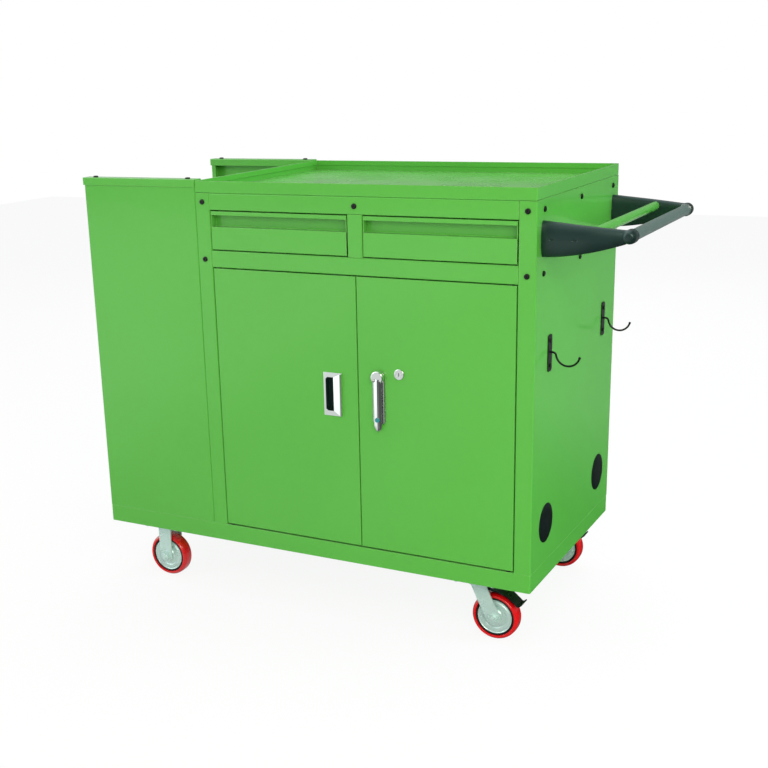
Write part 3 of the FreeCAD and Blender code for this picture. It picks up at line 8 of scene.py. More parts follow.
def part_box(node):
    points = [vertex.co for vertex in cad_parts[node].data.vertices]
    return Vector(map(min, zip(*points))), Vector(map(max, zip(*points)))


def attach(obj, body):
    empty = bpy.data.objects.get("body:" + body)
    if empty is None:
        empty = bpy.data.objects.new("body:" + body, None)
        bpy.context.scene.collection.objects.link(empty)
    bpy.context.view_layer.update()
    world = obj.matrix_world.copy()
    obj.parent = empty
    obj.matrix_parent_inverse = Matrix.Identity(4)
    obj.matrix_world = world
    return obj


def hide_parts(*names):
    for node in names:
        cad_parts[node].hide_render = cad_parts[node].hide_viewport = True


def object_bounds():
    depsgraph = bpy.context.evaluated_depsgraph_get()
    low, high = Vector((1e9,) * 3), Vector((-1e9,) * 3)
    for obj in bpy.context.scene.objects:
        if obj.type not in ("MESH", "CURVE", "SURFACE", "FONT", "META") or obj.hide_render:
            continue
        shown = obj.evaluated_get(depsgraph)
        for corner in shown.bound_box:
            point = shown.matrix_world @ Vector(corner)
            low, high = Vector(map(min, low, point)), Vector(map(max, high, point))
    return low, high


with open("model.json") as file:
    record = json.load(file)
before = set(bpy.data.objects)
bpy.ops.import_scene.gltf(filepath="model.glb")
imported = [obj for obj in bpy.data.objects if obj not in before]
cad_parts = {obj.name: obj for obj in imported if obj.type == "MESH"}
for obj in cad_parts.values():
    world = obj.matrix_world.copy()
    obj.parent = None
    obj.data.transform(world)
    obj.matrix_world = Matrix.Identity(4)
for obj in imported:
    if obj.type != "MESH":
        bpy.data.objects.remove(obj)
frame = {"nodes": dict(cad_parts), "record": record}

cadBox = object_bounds()
mm = 0.001
print("cabinet loaded:", len(frame["nodes"]), "nodes")


# small helpers for shader trees
def feedSocket(tree, socket, value):
    if isinstance(value, bpy.types.NodeSocket):
        tree.links.new(value, socket)
    else:
        socket.default_value = value


def addNode(tree, kind, inputs=None, **settings):
    node = tree.nodes.new(kind)
    for name, value in settings.items():
        setattr(node, name, value)
    for name, value in (inputs or {}).items():
        feedSocket(tree, node.inputs[name], value)
    return node


def mixColours(tree, factor, first, second):
    node = addNode(tree, "ShaderNodeMix", data_type="RGBA")
    for place, value in ((0, factor), (6, first), (7, second)):    # the colour mix's own sockets
        feedSocket(tree, node.inputs[place], value)
    return node.outputs[2]


def doMaths(tree, operation, *values, clamp=False):
    node = addNode(tree, "ShaderNodeMath", operation=operation, use_clamp=clamp)
    for socket, value in zip(node.inputs, values):
        feedSocket(tree, socket, value)
    return node.outputs[0]


def remap(tree, value, low, high, newLow, newHigh):
    node = addNode(tree, "ShaderNodeMapRange", {"Value": value, "From Min": low, "From Max": high,
                                                "To Min": newLow, "To Max": newHigh})
    return node.outputs["Result"]


def newGroup(name, inputs, outputs):
    tree = bpy.data.node_groups.new(name, "ShaderNodeTree")
    for label, kind, value in inputs:
        socket = tree.interface.new_socket(name=label, in_out="INPUT", socket_type="NodeSocket" + kind)
        socket.default_value = value
    for label, kind in outputs:
        tree.interface.new_socket(name=label, in_out="OUTPUT", socket_type="NodeSocket" + kind)
    return tree, tree.nodes.new("NodeGroupInput").outputs, tree.nodes.new("NodeGroupOutput").inputs


def useGroup(tree, group, **inputs):
    node = tree.nodes.new("ShaderNodeGroup")
    node.node_tree = group
    for name, value in inputs.items():
        feedSocket(tree, node.inputs[name], value)
    return node.outputs


# effects that several finishes share
def makeEdgeWearAndHighlight():
    # worn or thin coat where a fold turns, and on the green paint also a painted highlight line along the
    # edges: how far a rounded normal leaves the flat one
    tree, given, made = newGroup("edgeWearAndHighlight", [("Vector", "Vector", (0, 0, 0)), ("Radius", "Float", 0.001),
                                              ("Patchiness", "Float", 0.5), ("Patch Scale", "Float", 60.0)],
                                 [("Mask", "Float"), ("Round Normal", "Vector")])
    rounded = addNode(tree, "ShaderNodeBevel", {"Radius": given["Radius"]}, samples=4)
    flat = addNode(tree, "ShaderNodeNewGeometry")
    facing = addNode(tree, "ShaderNodeVectorMath", {0: rounded.outputs[0], 1: flat.outputs["Normal"]},
                     operation="DOT_PRODUCT")
    edge = remap(tree, facing.outputs["Value"], 0.995, 0.90, 0.0, 1.0)
    patches = addNode(tree, "ShaderNodeTexNoise", {"Vector": given["Vector"], "Scale": given["Patch Scale"],
                                                   "Detail": 3.0})
    kept = remap(tree, patches.outputs["Fac"], 0.38, 0.62, 0.0, 1.0)
    share = doMaths(tree, "MULTIPLY", doMaths(tree, "SUBTRACT", 1.0, kept), given["Patchiness"])
    wornAndHighlit = doMaths(tree, "MULTIPLY", edge, doMaths(tree, "SUBTRACT", 1.0, share), clamp=True)
    tree.links.new(wornAndHighlit, made["Mask"])
    tree.links.new(rounded.outputs[0], made["Round Normal"])
    return tree


def makeColourDrift():
    # slow change of shade over a panel, with a finer mottling on top
    tree, given, made = newGroup("colourDrift", [("Vector", "Vector", (0, 0, 0)),
                                                 ("Colour", "Color", (1, 1, 1, 1)),
                                                 ("Scale", "Float", 2.0), ("Amount", "Float", 0.1),
                                                 ("Mottle", "Float", 0.05)], [("Colour", "Color")])
    slow = addNode(tree, "ShaderNodeTexNoise", {"Vector": given["Vector"], "Scale": given["Scale"],
                                                "Detail": 2.0})
    fineScale = doMaths(tree, "MULTIPLY", given["Scale"], 40.0)
    fine = addNode(tree, "ShaderNodeTexNoise", {"Vector": given["Vector"], "Scale": fineScale, "Detail": 4.0})
    slowPart = doMaths(tree, "MULTIPLY", doMaths(tree, "SUBTRACT", slow.outputs["Fac"], 0.5), given["Amount"])
    finePart = doMaths(tree, "MULTIPLY", doMaths(tree, "SUBTRACT", fine.outputs["Fac"], 0.5), given["Mottle"])
    shade = doMaths(tree, "ADD", 1.0, doMaths(tree, "ADD", slowPart, finePart))
    changed = addNode(tree, "ShaderNodeHueSaturation", {"Color": given["Colour"], "Value": shade})
    tree.links.new(changed.outputs[0], made["Colour"])
    return tree


def makeGlossDrift():
    # handling marks: patches where the surface is a little duller
    tree, given, made = newGroup("glossDrift", [("Vector", "Vector", (0, 0, 0)), ("Scale", "Float", 5.0),
                                                ("Low", "Float", 0.2), ("High", "Float", 0.3)],
                                 [("Roughness", "Float")])
    smears = addNode(tree, "ShaderNodeTexNoise", {"Vector": given["Vector"], "Scale": given["Scale"],
                                                  "Detail": 6.0, "Roughness": 0.62, "Distortion": 0.6})
    spread = remap(tree, smears.outputs["Fac"], 0.35, 0.7, given["Low"], given["High"])
    tree.links.new(spread, made["Roughness"])
    return tree


def makeOrangePeel():
    # the faint ripple of baked powder
    tree, given, made = newGroup("orangePeel", [("Vector", "Vector", (0, 0, 0)), ("Scale", "Float", 300.0),
                                                ("Fineness", "Float", 0.3)], [("Height", "Float")])
    broad = addNode(tree, "ShaderNodeTexNoise", {"Vector": given["Vector"], "Scale": given["Scale"],
                                                 "Detail": 1.0})
    tightScale = doMaths(tree, "MULTIPLY", given["Scale"], 3.1)
    tight = addNode(tree, "ShaderNodeTexNoise", {"Vector": given["Vector"], "Scale": tightScale,
                                                 "Detail": 2.0})
    fine = doMaths(tree, "MULTIPLY", tight.outputs["Fac"], given["Fineness"])
    tree.links.new(doMaths(tree, "ADD", broad.outputs["Fac"], fine), made["Height"])
    return tree


def makeMouldGrain():
    # spark-eroded grain of a plastic mould
    tree, given, made = newGroup("mouldGrain", [("Vector", "Vector", (0, 0, 0)), ("Scale", "Float", 900.0)],
                                 [("Height", "Float")])
    cells = addNode(tree, "ShaderNodeTexVoronoi", {"Vector": given["Vector"], "Scale": given["Scale"]},
                    feature="SMOOTH_F1")
    speckle = addNode(tree, "ShaderNodeTexNoise", {"Vector": given["Vector"], "Scale": given["Scale"],
                                                   "Detail": 3.0})
    tree.links.new(doMaths(tree, "ADD", cells.outputs["Distance"], speckle.outputs["Fac"]), made["Height"])
    return tree


def makeRolledStreaks():
    # fine lines left by rolling, grinding or turning, stretched along one way
    tree, given, made = newGroup("rolledStreaks", [("Vector", "Vector", (0, 0, 0)),
                                                   ("Stretch", "Vector", (1, 1, 1)),
                                                   ("Scale", "Float", 400.0)], [("Height", "Float")])
    pulled = addNode(tree, "ShaderNodeVectorMath", {0: given["Vector"], 1: given["Stretch"]},
                     operation="MULTIPLY")
    lines = addNode(tree, "ShaderNodeTexNoise", {"Vector": pulled.outputs[0], "Scale": given["Scale"],
                                                 "Detail": 3.0})
    tree.links.new(lines.outputs["Fac"], made["Height"])
    return tree


def makeSettledDust():
    # dust lies on what faces up
    tree, given, made = newGroup("settledDust", [("Vector", "Vector", (0, 0, 0)), ("Amount", "Float", 0.2)],
                                 [("Mask", "Float")])
    flat = addNode(tree, "ShaderNodeNewGeometry")
    parts = addNode(tree, "ShaderNodeSeparateXYZ", {0: flat.outputs["Normal"]})
    upward = remap(tree, parts.outputs["Z"], 0.7, 1.0, 0.0, 1.0)
    drift = addNode(tree, "ShaderNodeTexNoise", {"Vector": given["Vector"], "Scale": 14.0, "Detail": 5.0})
    lying = doMaths(tree, "MULTIPLY", upward, drift.outputs["Fac"])
    tree.links.new(doMaths(tree, "MULTIPLY", lying, given["Amount"], clamp=True), made["Mask"])
    return tree


# edge mask: wear on most finishes, and a painted highlight line on the green paint
edgeWearAndHighlight = makeEdgeWearAndHighlight()
colourDrift = makeColourDrift()
glossDrift = makeGlossDrift()
orangePeel = makeOrangePeel()
mouldGrain = makeMouldGrain()
rolledStreaks = makeRolledStreaks()
settledDust = makeSettledDust()


def newMaterial(name, **shaderValues):
    material = bpy.data.materials.new(name)
    material.use_nodes = True
    tree = material.node_tree
    tree.nodes.clear()
    shader = addNode(tree, "ShaderNodeBsdfPrincipled")
    for label, value in shaderValues.items():
        shader.inputs[label.replace("_", " ")].default_value = value
    output = tree.nodes.new("ShaderNodeOutputMaterial")
    tree.links.new(shader.outputs[0], output.inputs["Surface"])
    place = tree.nodes.new("ShaderNodeTexCoord").outputs["Object"]
    return material, tree, shader, place


def raiseBump(tree, shader, height, strength, distance, normal=None):
    inputs = {"Height": height, "Strength": strength, "Distance": distance}
    if normal is not None:
        inputs["Normal"] = normal
    bump = addNode(tree, "ShaderNodeBump", inputs)
    tree.links.new(bump.outputs[0], shader.inputs["Normal"])


# finishes
paint = {
    "colour": (0.104, 0.460, 0.060, 1),
    # lighter green on folds: thin coat, and a painted highlight line along the edges
    "thinCoatAndHighlight": (0.36, 0.78, 0.24, 1),
    "dust": (0.62, 0.70, 0.56, 1),
    "wearAndHighlight": 0.55,                # how much of the thin coat, and of the painted highlight line, shows on edges
    "roughness": (0.16, 0.27),
    "peelHeight": 0.00004,
}


def makeGreenPaint():
    material, tree, shader, place = newMaterial("greenPaint", Coat_Weight=0.3, Coat_Roughness=0.08,
                                                Coat_IOR=1.45, Specular_IOR_Level=0.3)
    wearAndHighlight = useGroup(tree, edgeWearAndHighlight, Vector=place, Radius=0.0016, Patchiness=0.35)
    shade = useGroup(tree, colourDrift, Vector=place, Colour=paint["colour"], Scale=1.8, Amount=0.16,
                     Mottle=0.05)
    # edges lightened: partly thin coat, partly a painted highlight line
    thinCoatAndHighlightShare = doMaths(tree, "MULTIPLY", wearAndHighlight["Mask"], paint["wearAndHighlight"])
    wornAndHighlit = mixColours(tree, thinCoatAndHighlightShare, shade["Colour"], paint["thinCoatAndHighlight"])
    dusty = useGroup(tree, settledDust, Vector=place, Amount=0.16)
    colour = mixColours(tree, dusty["Mask"], wornAndHighlit, paint["dust"])
    low, high = paint["roughness"]
    gloss = useGroup(tree, glossDrift, Vector=place, Scale=4.0, Low=low, High=high)
    rough = doMaths(tree, "ADD", gloss["Roughness"], doMaths(tree, "MULTIPLY", dusty["Mask"], 0.8))
    tree.links.new(colour, shader.inputs["Base Color"])
    tree.links.new(rough, shader.inputs["Roughness"])
    peel = useGroup(tree, orangePeel, Vector=place, Scale=340.0, Fineness=0.3)
    raiseBump(tree, shader, peel["Height"], 0.35, paint["peelHeight"], wearAndHighlight["Round Normal"])
    return material


zinc = {
    "colour": (0.60, 0.80, 0.76, 1),
    "spangle": (0.74, 0.94, 0.92, 1),
    "bareEdge": (0.86, 0.88, 0.89, 1),
    "wearAndHighlight": 0.5,
    "roughness": (0.24, 0.40),
}


def makeZincPlate():
    material, tree, shader, place = newMaterial("zincPlate", Metallic=0.35)
    wearAndHighlight = useGroup(tree, edgeWearAndHighlight, Vector=place, Radius=0.0007, Patchiness=0.3)
    crystals = addNode(tree, "ShaderNodeTexVoronoi", {"Vector": place, "Scale": 160.0})
    shade = useGroup(tree, colourDrift, Vector=place, Colour=zinc["colour"], Scale=9.0, Amount=0.22,
                     Mottle=0.12)
    cell = remap(tree, crystals.outputs["Distance"], 0.1, 0.8, 0.0, 0.35)
    spangled = mixColours(tree, cell, shade["Colour"], zinc["spangle"])
    bare = doMaths(tree, "MULTIPLY", wearAndHighlight["Mask"], zinc["wearAndHighlight"])
    bright = mixColours(tree, bare, spangled, zinc["bareEdge"])
    low, high = zinc["roughness"]
    gloss = useGroup(tree, glossDrift, Vector=place, Scale=30.0, Low=low, High=high)
    tree.links.new(bright, shader.inputs["Base Color"])
    tree.links.new(gloss["Roughness"], shader.inputs["Roughness"])
    streaks = useGroup(tree, rolledStreaks, Vector=place, Stretch=(1, 1, 0.06), Scale=900.0)
    raiseBump(tree, shader, streaks["Height"], 0.25, 0.00003, wearAndHighlight["Round Normal"])
    return material


plastic = {
    "colour": (0.0060, 0.0200, 0.0172, 1),
    "rubbed": (0.060, 0.110, 0.098, 1),
    "wearAndHighlight": 0.5,
    "roughness": (0.34, 0.46),
}


def makeBlackPlastic():
    material, tree, shader, place = newMaterial("blackPlastic", Coat_Weight=0.4, Coat_Roughness=0.2,
                                                Specular_IOR_Level=0.5, Specular_Tint=(0.62, 1.0, 0.92, 1))
    wearAndHighlight = useGroup(tree, edgeWearAndHighlight, Vector=place, Radius=0.0012, Patchiness=0.6)
    shade = useGroup(tree, colourDrift, Vector=place, Colour=plastic["colour"], Scale=16.0, Amount=0.5,
                     Mottle=0.3)
    rubbed = doMaths(tree, "MULTIPLY", wearAndHighlight["Mask"], plastic["wearAndHighlight"])
    colour = mixColours(tree, rubbed, shade["Colour"], plastic["rubbed"])
    low, high = plastic["roughness"]
    gloss = useGroup(tree, glossDrift, Vector=place, Scale=22.0, Low=low, High=high)
    tree.links.new(colour, shader.inputs["Base Color"])
    tree.links.new(gloss["Roughness"], shader.inputs["Roughness"])
    grain = useGroup(tree, mouldGrain, Vector=place, Scale=1100.0)
    raiseBump(tree, shader, grain["Height"], 0.35, 0.00006, wearAndHighlight["Round Normal"])
    return material


gripTube = {"colour": (0.10, 0.155, 0.135, 1), "roughness": (0.28, 0.44)}


def makeGreyTube():
    material, tree, shader, place = newMaterial("greyTube", Coat_Weight=0.3, Coat_Roughness=0.15)
    wearAndHighlight = useGroup(tree, edgeWearAndHighlight, Vector=place, Radius=0.0008, Patchiness=0.5)
    shade = useGroup(tree, colourDrift, Vector=place, Colour=gripTube["colour"], Scale=14.0, Amount=0.2,
                     Mottle=0.1)
    low, high = gripTube["roughness"]
    gloss = useGroup(tree, glossDrift, Vector=place, Scale=18.0, Low=low, High=high)
    tree.links.new(shade["Colour"], shader.inputs["Base Color"])
    tree.links.new(gloss["Roughness"], shader.inputs["Roughness"])
    peel = useGroup(tree, orangePeel, Vector=place, Scale=700.0, Fineness=0.5)
    raiseBump(tree, shader, peel["Height"], 0.4, 0.00004, wearAndHighlight["Round Normal"])
    return material


def makePolishedMetal(name, colour, low, high):
    # chrome, and the duller cast metal under it
    material, tree, shader, place = newMaterial(name, Metallic=1.0)
    wearAndHighlight = useGroup(tree, edgeWearAndHighlight, Vector=place, Radius=0.0005, Patchiness=0.3)
    shade = useGroup(tree, colourDrift, Vector=place, Colour=colour, Scale=20.0, Amount=0.08, Mottle=0.04)
    gloss = useGroup(tree, glossDrift, Vector=place, Scale=60.0, Low=low, High=high)
    tree.links.new(shade["Colour"], shader.inputs["Base Color"])
    tree.links.new(gloss["Roughness"], shader.inputs["Roughness"])
    hairlines = useGroup(tree, rolledStreaks, Vector=place, Stretch=(1, 1, 0.03), Scale=1600.0)
    raiseBump(tree, shader, hairlines["Height"], 0.12, 0.00002, wearAndHighlight["Round Normal"])
    return material


button = {"colour": (0.006, 0.24, 0.27, 1), "roughness": (0.18, 0.3)}


def makeTealButton():
    material, tree, shader, place = newMaterial("tealButton", Coat_Weight=0.6, Coat_Roughness=0.05)
    shade = useGroup(tree, colourDrift, Vector=place, Colour=button["colour"], Scale=80.0, Amount=0.2,
                     Mottle=0.1)
    low, high = button["roughness"]
    gloss = useGroup(tree, glossDrift, Vector=place, Scale=120.0, Low=low, High=high)
    tree.links.new(shade["Colour"], shader.inputs["Base Color"])
    tree.links.new(gloss["Roughness"], shader.inputs["Roughness"])
    grain = useGroup(tree, mouldGrain, Vector=place, Scale=2000.0)
    raiseBump(tree, shader, grain["Height"], 0.15, 0.00003)
    return material


blackened = {"rubbed": (0.16, 0.16, 0.165, 1), "wearAndHighlight": 0.45}


def makeBlackSteel(name, colour, low, high):
    # blackened or coated steel, rubbed back to grey on its edges
    material, tree, shader, place = newMaterial(name, Metallic=0.0, Specular_IOR_Level=0.35)
    wearAndHighlight = useGroup(tree, edgeWearAndHighlight, Vector=place, Radius=0.0004, Patchiness=0.5, **{"Patch Scale": 200.0})
    shade = useGroup(tree, colourDrift, Vector=place, Colour=colour, Scale=60.0, Amount=0.5, Mottle=0.3)
    rubbed = doMaths(tree, "MULTIPLY", wearAndHighlight["Mask"], blackened["wearAndHighlight"])
    mixed = mixColours(tree, rubbed, shade["Colour"], blackened["rubbed"])
    gloss = useGroup(tree, glossDrift, Vector=place, Scale=90.0, Low=low, High=high)
    tree.links.new(mixed, shader.inputs["Base Color"])
    tree.links.new(gloss["Roughness"], shader.inputs["Roughness"])
    peel = useGroup(tree, orangePeel, Vector=place, Scale=1500.0, Fineness=0.4)
    raiseBump(tree, shader, peel["Height"], 0.25, 0.00003, wearAndHighlight["Round Normal"])
    return material


rubber = {
    "colour": (0.0040, 0.0120, 0.0105, 1),
    "rubbed": (0.022, 0.040, 0.036, 1),
    "wearAndHighlight": 0.4,
    "roughness": (0.42, 0.6),
}


def makeBlackRubber():
    material, tree, shader, place = newMaterial("blackRubber", Specular_IOR_Level=0.3)
    wearAndHighlight = useGroup(tree, edgeWearAndHighlight, Vector=place, Radius=0.0012, Patchiness=0.5)
    shade = useGroup(tree, colourDrift, Vector=place, Colour=rubber["colour"], Scale=30.0, Amount=0.6,
                     Mottle=0.4)
    rubbed = doMaths(tree, "MULTIPLY", wearAndHighlight["Mask"], rubber["wearAndHighlight"])
    colour = mixColours(tree, rubbed, shade["Colour"], rubber["rubbed"])
    low, high = rubber["roughness"]
    gloss = useGroup(tree, glossDrift, Vector=place, Scale=40.0, Low=low, High=high)
    tree.links.new(colour, shader.inputs["Base Color"])
    tree.links.new(gloss["Roughness"], shader.inputs["Roughness"])
    grain = useGroup(tree, mouldGrain, Vector=place, Scale=1400.0)
    raiseBump(tree, shader, grain["Height"], 0.3, 0.00005, wearAndHighlight["Round Normal"])
    return material


castTread = {
    "colour": (0.78, 0.003, 0.006, 1),
    "scuffed": (0.55, 0.06, 0.05, 1),
    "scuffing": 0.22,
    "roughness": (0.14, 0.30),
}


def makeRedTread():
    material, tree, shader, place = newMaterial("redTread", Coat_Weight=0.7, Coat_Roughness=0.08,
                                                Subsurface_Weight=0.08, Subsurface_Scale=0.004)
    shade = useGroup(tree, colourDrift, Vector=place, Colour=castTread["colour"], Scale=18.0, Amount=0.3,
                     Mottle=0.12)
    scuffs = addNode(tree, "ShaderNodeTexNoise", {"Vector": place, "Scale": 220.0, "Detail": 6.0})
    scuffed = remap(tree, scuffs.outputs["Fac"], 0.62, 0.74, 0.0, castTread["scuffing"])
    colour = mixColours(tree, scuffed, shade["Colour"], castTread["scuffed"])
    low, high = castTread["roughness"]
    gloss = useGroup(tree, glossDrift, Vector=place, Scale=35.0, Low=low, High=high)
    tree.links.new(colour, shader.inputs["Base Color"])
    tree.links.new(gloss["Roughness"], shader.inputs["Roughness"])
    peel = useGroup(tree, orangePeel, Vector=place, Scale=500.0, Fineness=0.4)
    raiseBump(tree, shader, peel["Height"], 0.25, 0.00006)
    return material


finishes = {
    "green_paint": makeGreenPaint(),
    "zinc_plate": makeZincPlate(),
    "black_plastic": makeBlackPlastic(),
    "grey_tube": makeGreyTube(),
    "chrome": makePolishedMetal("chromePlate", (0.88, 0.92, 0.91, 1), 0.04, 0.12),
    "satin_steel": makePolishedMetal("satinSteel", (0.56, 0.58, 0.59, 1), 0.22, 0.36),
    "teal_button": makeTealButton(),
    "black_screw": makeBlackSteel("blackScrew", (0.0040, 0.0060, 0.0060, 1), 0.26, 0.42),
    "black_steel": makeBlackSteel("blackWire", (0.0022, 0.0064, 0.0052, 1), 0.26, 0.40),
    "black_rubber": makeBlackRubber(),
    "red_tread": makeRedTread(),
    "wheel_hub": makeBlackRubber(),
}
print("finishes made:", len(finishes))

creaseAngle = 32      # degrees, and a steeper turn than this keeps its edge


def shadeSmooth(mesh, sharpAngle=creaseAngle):
    for face in mesh.polygons:
        face.use_smooth = True
    mesh.set_sharp_from_angle(angle=math.radians(sharpAngle))


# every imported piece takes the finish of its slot
for part in frame["record"]["subparts"]:
    node = frame["nodes"][part["node"]]
    node.data.materials.clear()
    node.data.materials.append(finishes[part["material_slot"]])
    shadeSmooth(node.data)


# building helpers: every new piece rides on its body and takes a slot's finish
def addPiece(name, mesh, body, slot, replaced=(), sharpAngle=creaseAngle):
    piece = bpy.data.objects.new(name, mesh)
    bpy.context.scene.collection.objects.link(piece)
    mesh.materials.append(finishes[slot])
    shadeSmooth(mesh, sharpAngle)
    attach(piece, body)
    if replaced:
        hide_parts(*replaced)
    return piece


def finishMesh(name, form):
    bmesh.ops.recalc_face_normals(form, faces=form.faces)
    mesh = bpy.data.meshes.new(name)
    form.to_mesh(mesh)
    form.free()
    return mesh


def softCorners(corners, closed=True, steps=5):
    # corners are (across, along, radius), and a radius of 0 stays sharp
    spots = []
    count = len(corners)
    for i, (across, along, radius) in enumerate(corners):
        here = Vector((across, along))
        if radius <= 0 or (not closed and i in (0, count - 1)):
            spots.append(here)
            continue
        back = Vector(corners[i - 1][:2]) - here
        on = Vector(corners[(i + 1) % count][:2]) - here
        run = min(radius / math.tan(back.angle(on) / 2), back.length * 0.49, on.length * 0.49)
        start = here + back.normalized() * run
        stop = here + on.normalized() * run
        for k in range(steps + 1):
            share = k / steps
            spots.append(start.lerp(here, share).lerp(here.lerp(stop, share), share))
    return spots


def joinRings(form, rings, closed):
    follows = rings[1:] + rings[:1] if closed else rings[1:]
    for ring, nextRing in zip(rings, follows):
        for k in range(len(ring)):
            j = (k + 1) % len(ring)
            form.faces.new((ring[k], ring[j], nextRing[j], nextRing[k]))
    if not closed:
        form.faces.new(rings[0][::-1])
        form.faces.new(rings[-1])


def turnOutline(form, outline, centre, closed=True, segments=80):
    # outline is (radius, along) in metres, turned about an axis along Y
    rings = []
    for radius, along in outline:
        ring = []
        for k in range(segments):
            angle = 2 * math.pi * k / segments
            offset = Vector((radius * math.cos(angle), along, radius * math.sin(angle)))
            ring.append(form.verts.new(centre + offset))
        rings.append(ring)
    joinRings(form, rings, closed)


def turnedPiece(name, corners, centre, body, slot, replaced=(), closed=True, way=1):
    form = bmesh.new()
    outline = [(spot.x * mm, way * spot.y * mm) for spot in softCorners(corners, closed)]
    turnOutline(form, outline, centre, closed)
    return addPiece(name, finishMesh(name, form), body, slot, replaced)


# wheels: cast tread, black centre, a pressed steel disc on each face and a bearing cap
# an outline's corners are (radius, out from the wheel's middle, rounding) unless a note says otherwise
wheel = {
    "coreRadius": 41.8,
    "treadRoot": ((0.0, 3.2, 0.6), (0.7, 0.6, 0.5), (2.6, 0.0, 1.2)),    # out from the core, in from the face
    "treadShoulder": ((4.6, 0.3, 4.4), (0.5, 6.2, 5.0)),                 # in from the rim, in from the face
    "treadCrown": 40.0,
    "hubSteps": ((5.06, 18.0, 0), (7.6, 18.0, 0.6), (8.4, 15.0, 0.6), (20.0, 9.6, 3.0), (36.0, 9.6, 1.0),
                 (37.4, 13.2, 0.5), (38.0, 14.2, 0.4)),
    "hubEdge": ((1.3, 14.2, 0.5), (0.05, 12.6, 0.3)),                    # in from the core
    "discSteps": ((9.0, 15.6, 0), (15.0, 15.6, 1.2), (17.5, 12.9, 1.2), (24.0, 11.9, 2.0),
                  (26.0, 13.3, 1.0), (31.5, 13.3, 1.0), (33.2, 11.7, 1.0), (35.4, 11.7, 0.8),
                  (36.9, 13.0, 0.5), (37.3, 13.0, 0)),
    "discSheet": 1.0,
    "capSteps": ((5.3, 19.4, 0.3), (8.2, 19.4, 0.6), (8.8, 18.6, 0.4), (8.8, 15.2, 0), (5.3, 15.2, 0)),
}


def makeWheel(row, side):
    where = row + "_" + side
    body = "wheel_" + where
    low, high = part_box("wheel_tread_" + where)
    centre = (low + high) / 2
    radius = (high.x - low.x) / 2 / mm
    half = (high.y - low.y) / 2 / mm
    core = wheel["coreRadius"]
    tread = [(core + out, half - inset, rounding) for out, inset, rounding in wheel["treadRoot"]]
    tread += [(radius - back, half - inset, rounding) for back, inset, rounding in wheel["treadShoulder"]]
    tread.append((radius, 0, wheel["treadCrown"]))
    tread += [(across, -along, rounding) for across, along, rounding in tread[-2::-1]]
    turnedPiece("wheelTread_" + where, tread, centre, body, "red_tread", ("wheel_tread_" + where,))
    hub = list(wheel["hubSteps"])
    hub += [(core - back, along, rounding) for back, along, rounding in wheel["hubEdge"]]
    hub += [(across, -along, rounding) for across, along, rounding in hub[::-1]]
    turnedPiece("wheelHub_" + where, hub, centre, body, "wheel_hub", ("wheel_hub_" + where,))
    sheet = wheel["discSheet"]
    disc = list(wheel["discSteps"])
    disc += [(across, along - sheet, rounding) for across, along, rounding in disc[::-1]]
    for face, way in (("Front", -1), ("Rear", 1)):
        turnedPiece("wheelDisc" + face + "_" + where, disc, centre, body, "zinc_plate", way=way)
        turnedPiece("bearingCap" + face + "_" + where, wheel["capSteps"], centre, body, "zinc_plate", way=way)


for row in ("front", "rear"):
    for side in ("left", "right"):
        makeWheel(row, side)
print("wheels turned")


# push handle arms: one moulding that thins, bends in and swells into the knuckle round the grip tube
arm = {
    "rootHeight": 68.0,
    "tipHeight": 23.0,
    "rise": 8.0,                 # tip's axis above the root's middle
    "belly": 1.75,               # how late the lower edge sweeps up
    "thickness": (20.0, 15.0),   # at the root and at the tip
    "elbow": 11.0,               # how far the tip bends in, from what share of the reach, and how late
    "elbowFrom": 0.45,
    "elbowCurve": 1.6,
    "crown": 2.6,
    "squareness": 3.4,
    "overrun": 4.0,              # moulded past the panel, then cut flush
    "lastShare": 0.96,           # the knuckle takes over from here
    "rings": 35,
    "ringPoints": 56,
    "axisRadius": 0.4,
    "knuckleRadius": 13.5,
    "knuckleFoot": 8.0,
    "knuckleNose": ((5.5, 8.4, 4.0), (0.6, 14.0, 5.0), (0.0, 22.0, 8.0)),   # in from the radius, along, round
    "knuckleEnd": ((0.0, 5.2, 1.0), (0.8, 4.6, 0)),                          # the same, but back from its end
    "voxel": 1.15,
    "smoothing": (7, 0.5),       # passes and strength
    "sharpAngle": 50,
    "slots": (20.0, 64.0),
    "slotSize": (10.0, 2.2, 1.6),
    "slotReach": 4.0,            # only the outer face sinks in
    "collarBore": 11.2,
    "collarEnds": (5.0, 0.1),    # back from the inner end
    "ribs": 2,
    "ribPitch": 2.3,
    "ribCorners": ((1.5, 4.6, 0.2), (0.1, 4.3, 0.5), (0.1, 2.7, 0.5), (1.5, 2.4, 0.2)),
    "brightRing": ((11.1, -0.4, 0), (12.3, -0.4, 0.3), (12.3, 1.4, 0.5), (11.1, 1.4, 0)),
}


def armRing(form, share, root, reach, outward):
    top = arm["rootHeight"] / 2
    top += (arm["rise"] + arm["tipHeight"] / 2 - top) * share
    foot = -arm["rootHeight"] / 2
    foot += (arm["rise"] - arm["tipHeight"] / 2 - foot) * max(share, 0) ** arm["belly"]
    thick = arm["thickness"][0] + (arm["thickness"][1] - arm["thickness"][0]) * share
    bent = max(0.0, (share - arm["elbowFrom"]) / (1 - arm["elbowFrom"]))
    inward = arm["elbow"] * bent ** arm["elbowCurve"]
    ring = []
    for k in range(arm["ringPoints"]):
        angle = 2 * math.pi * k / arm["ringPoints"]
        power = 2 / arm["squareness"]
        across = math.copysign(abs(math.cos(angle)) ** power, math.cos(angle))
        upward = math.copysign(abs(math.sin(angle)) ** power, math.sin(angle))
        y = inward + thick / 2 * (1 - across)
        if across > 0:
            y -= arm["crown"] * (1 - upward * upward) * across
        y += arm["crown"]
        height = (top + foot + upward * (top - foot)) / 2
        offset = Vector((share * reach, -outward * y * mm, height * mm))
        ring.append(form.verts.new(root + offset))
    return ring


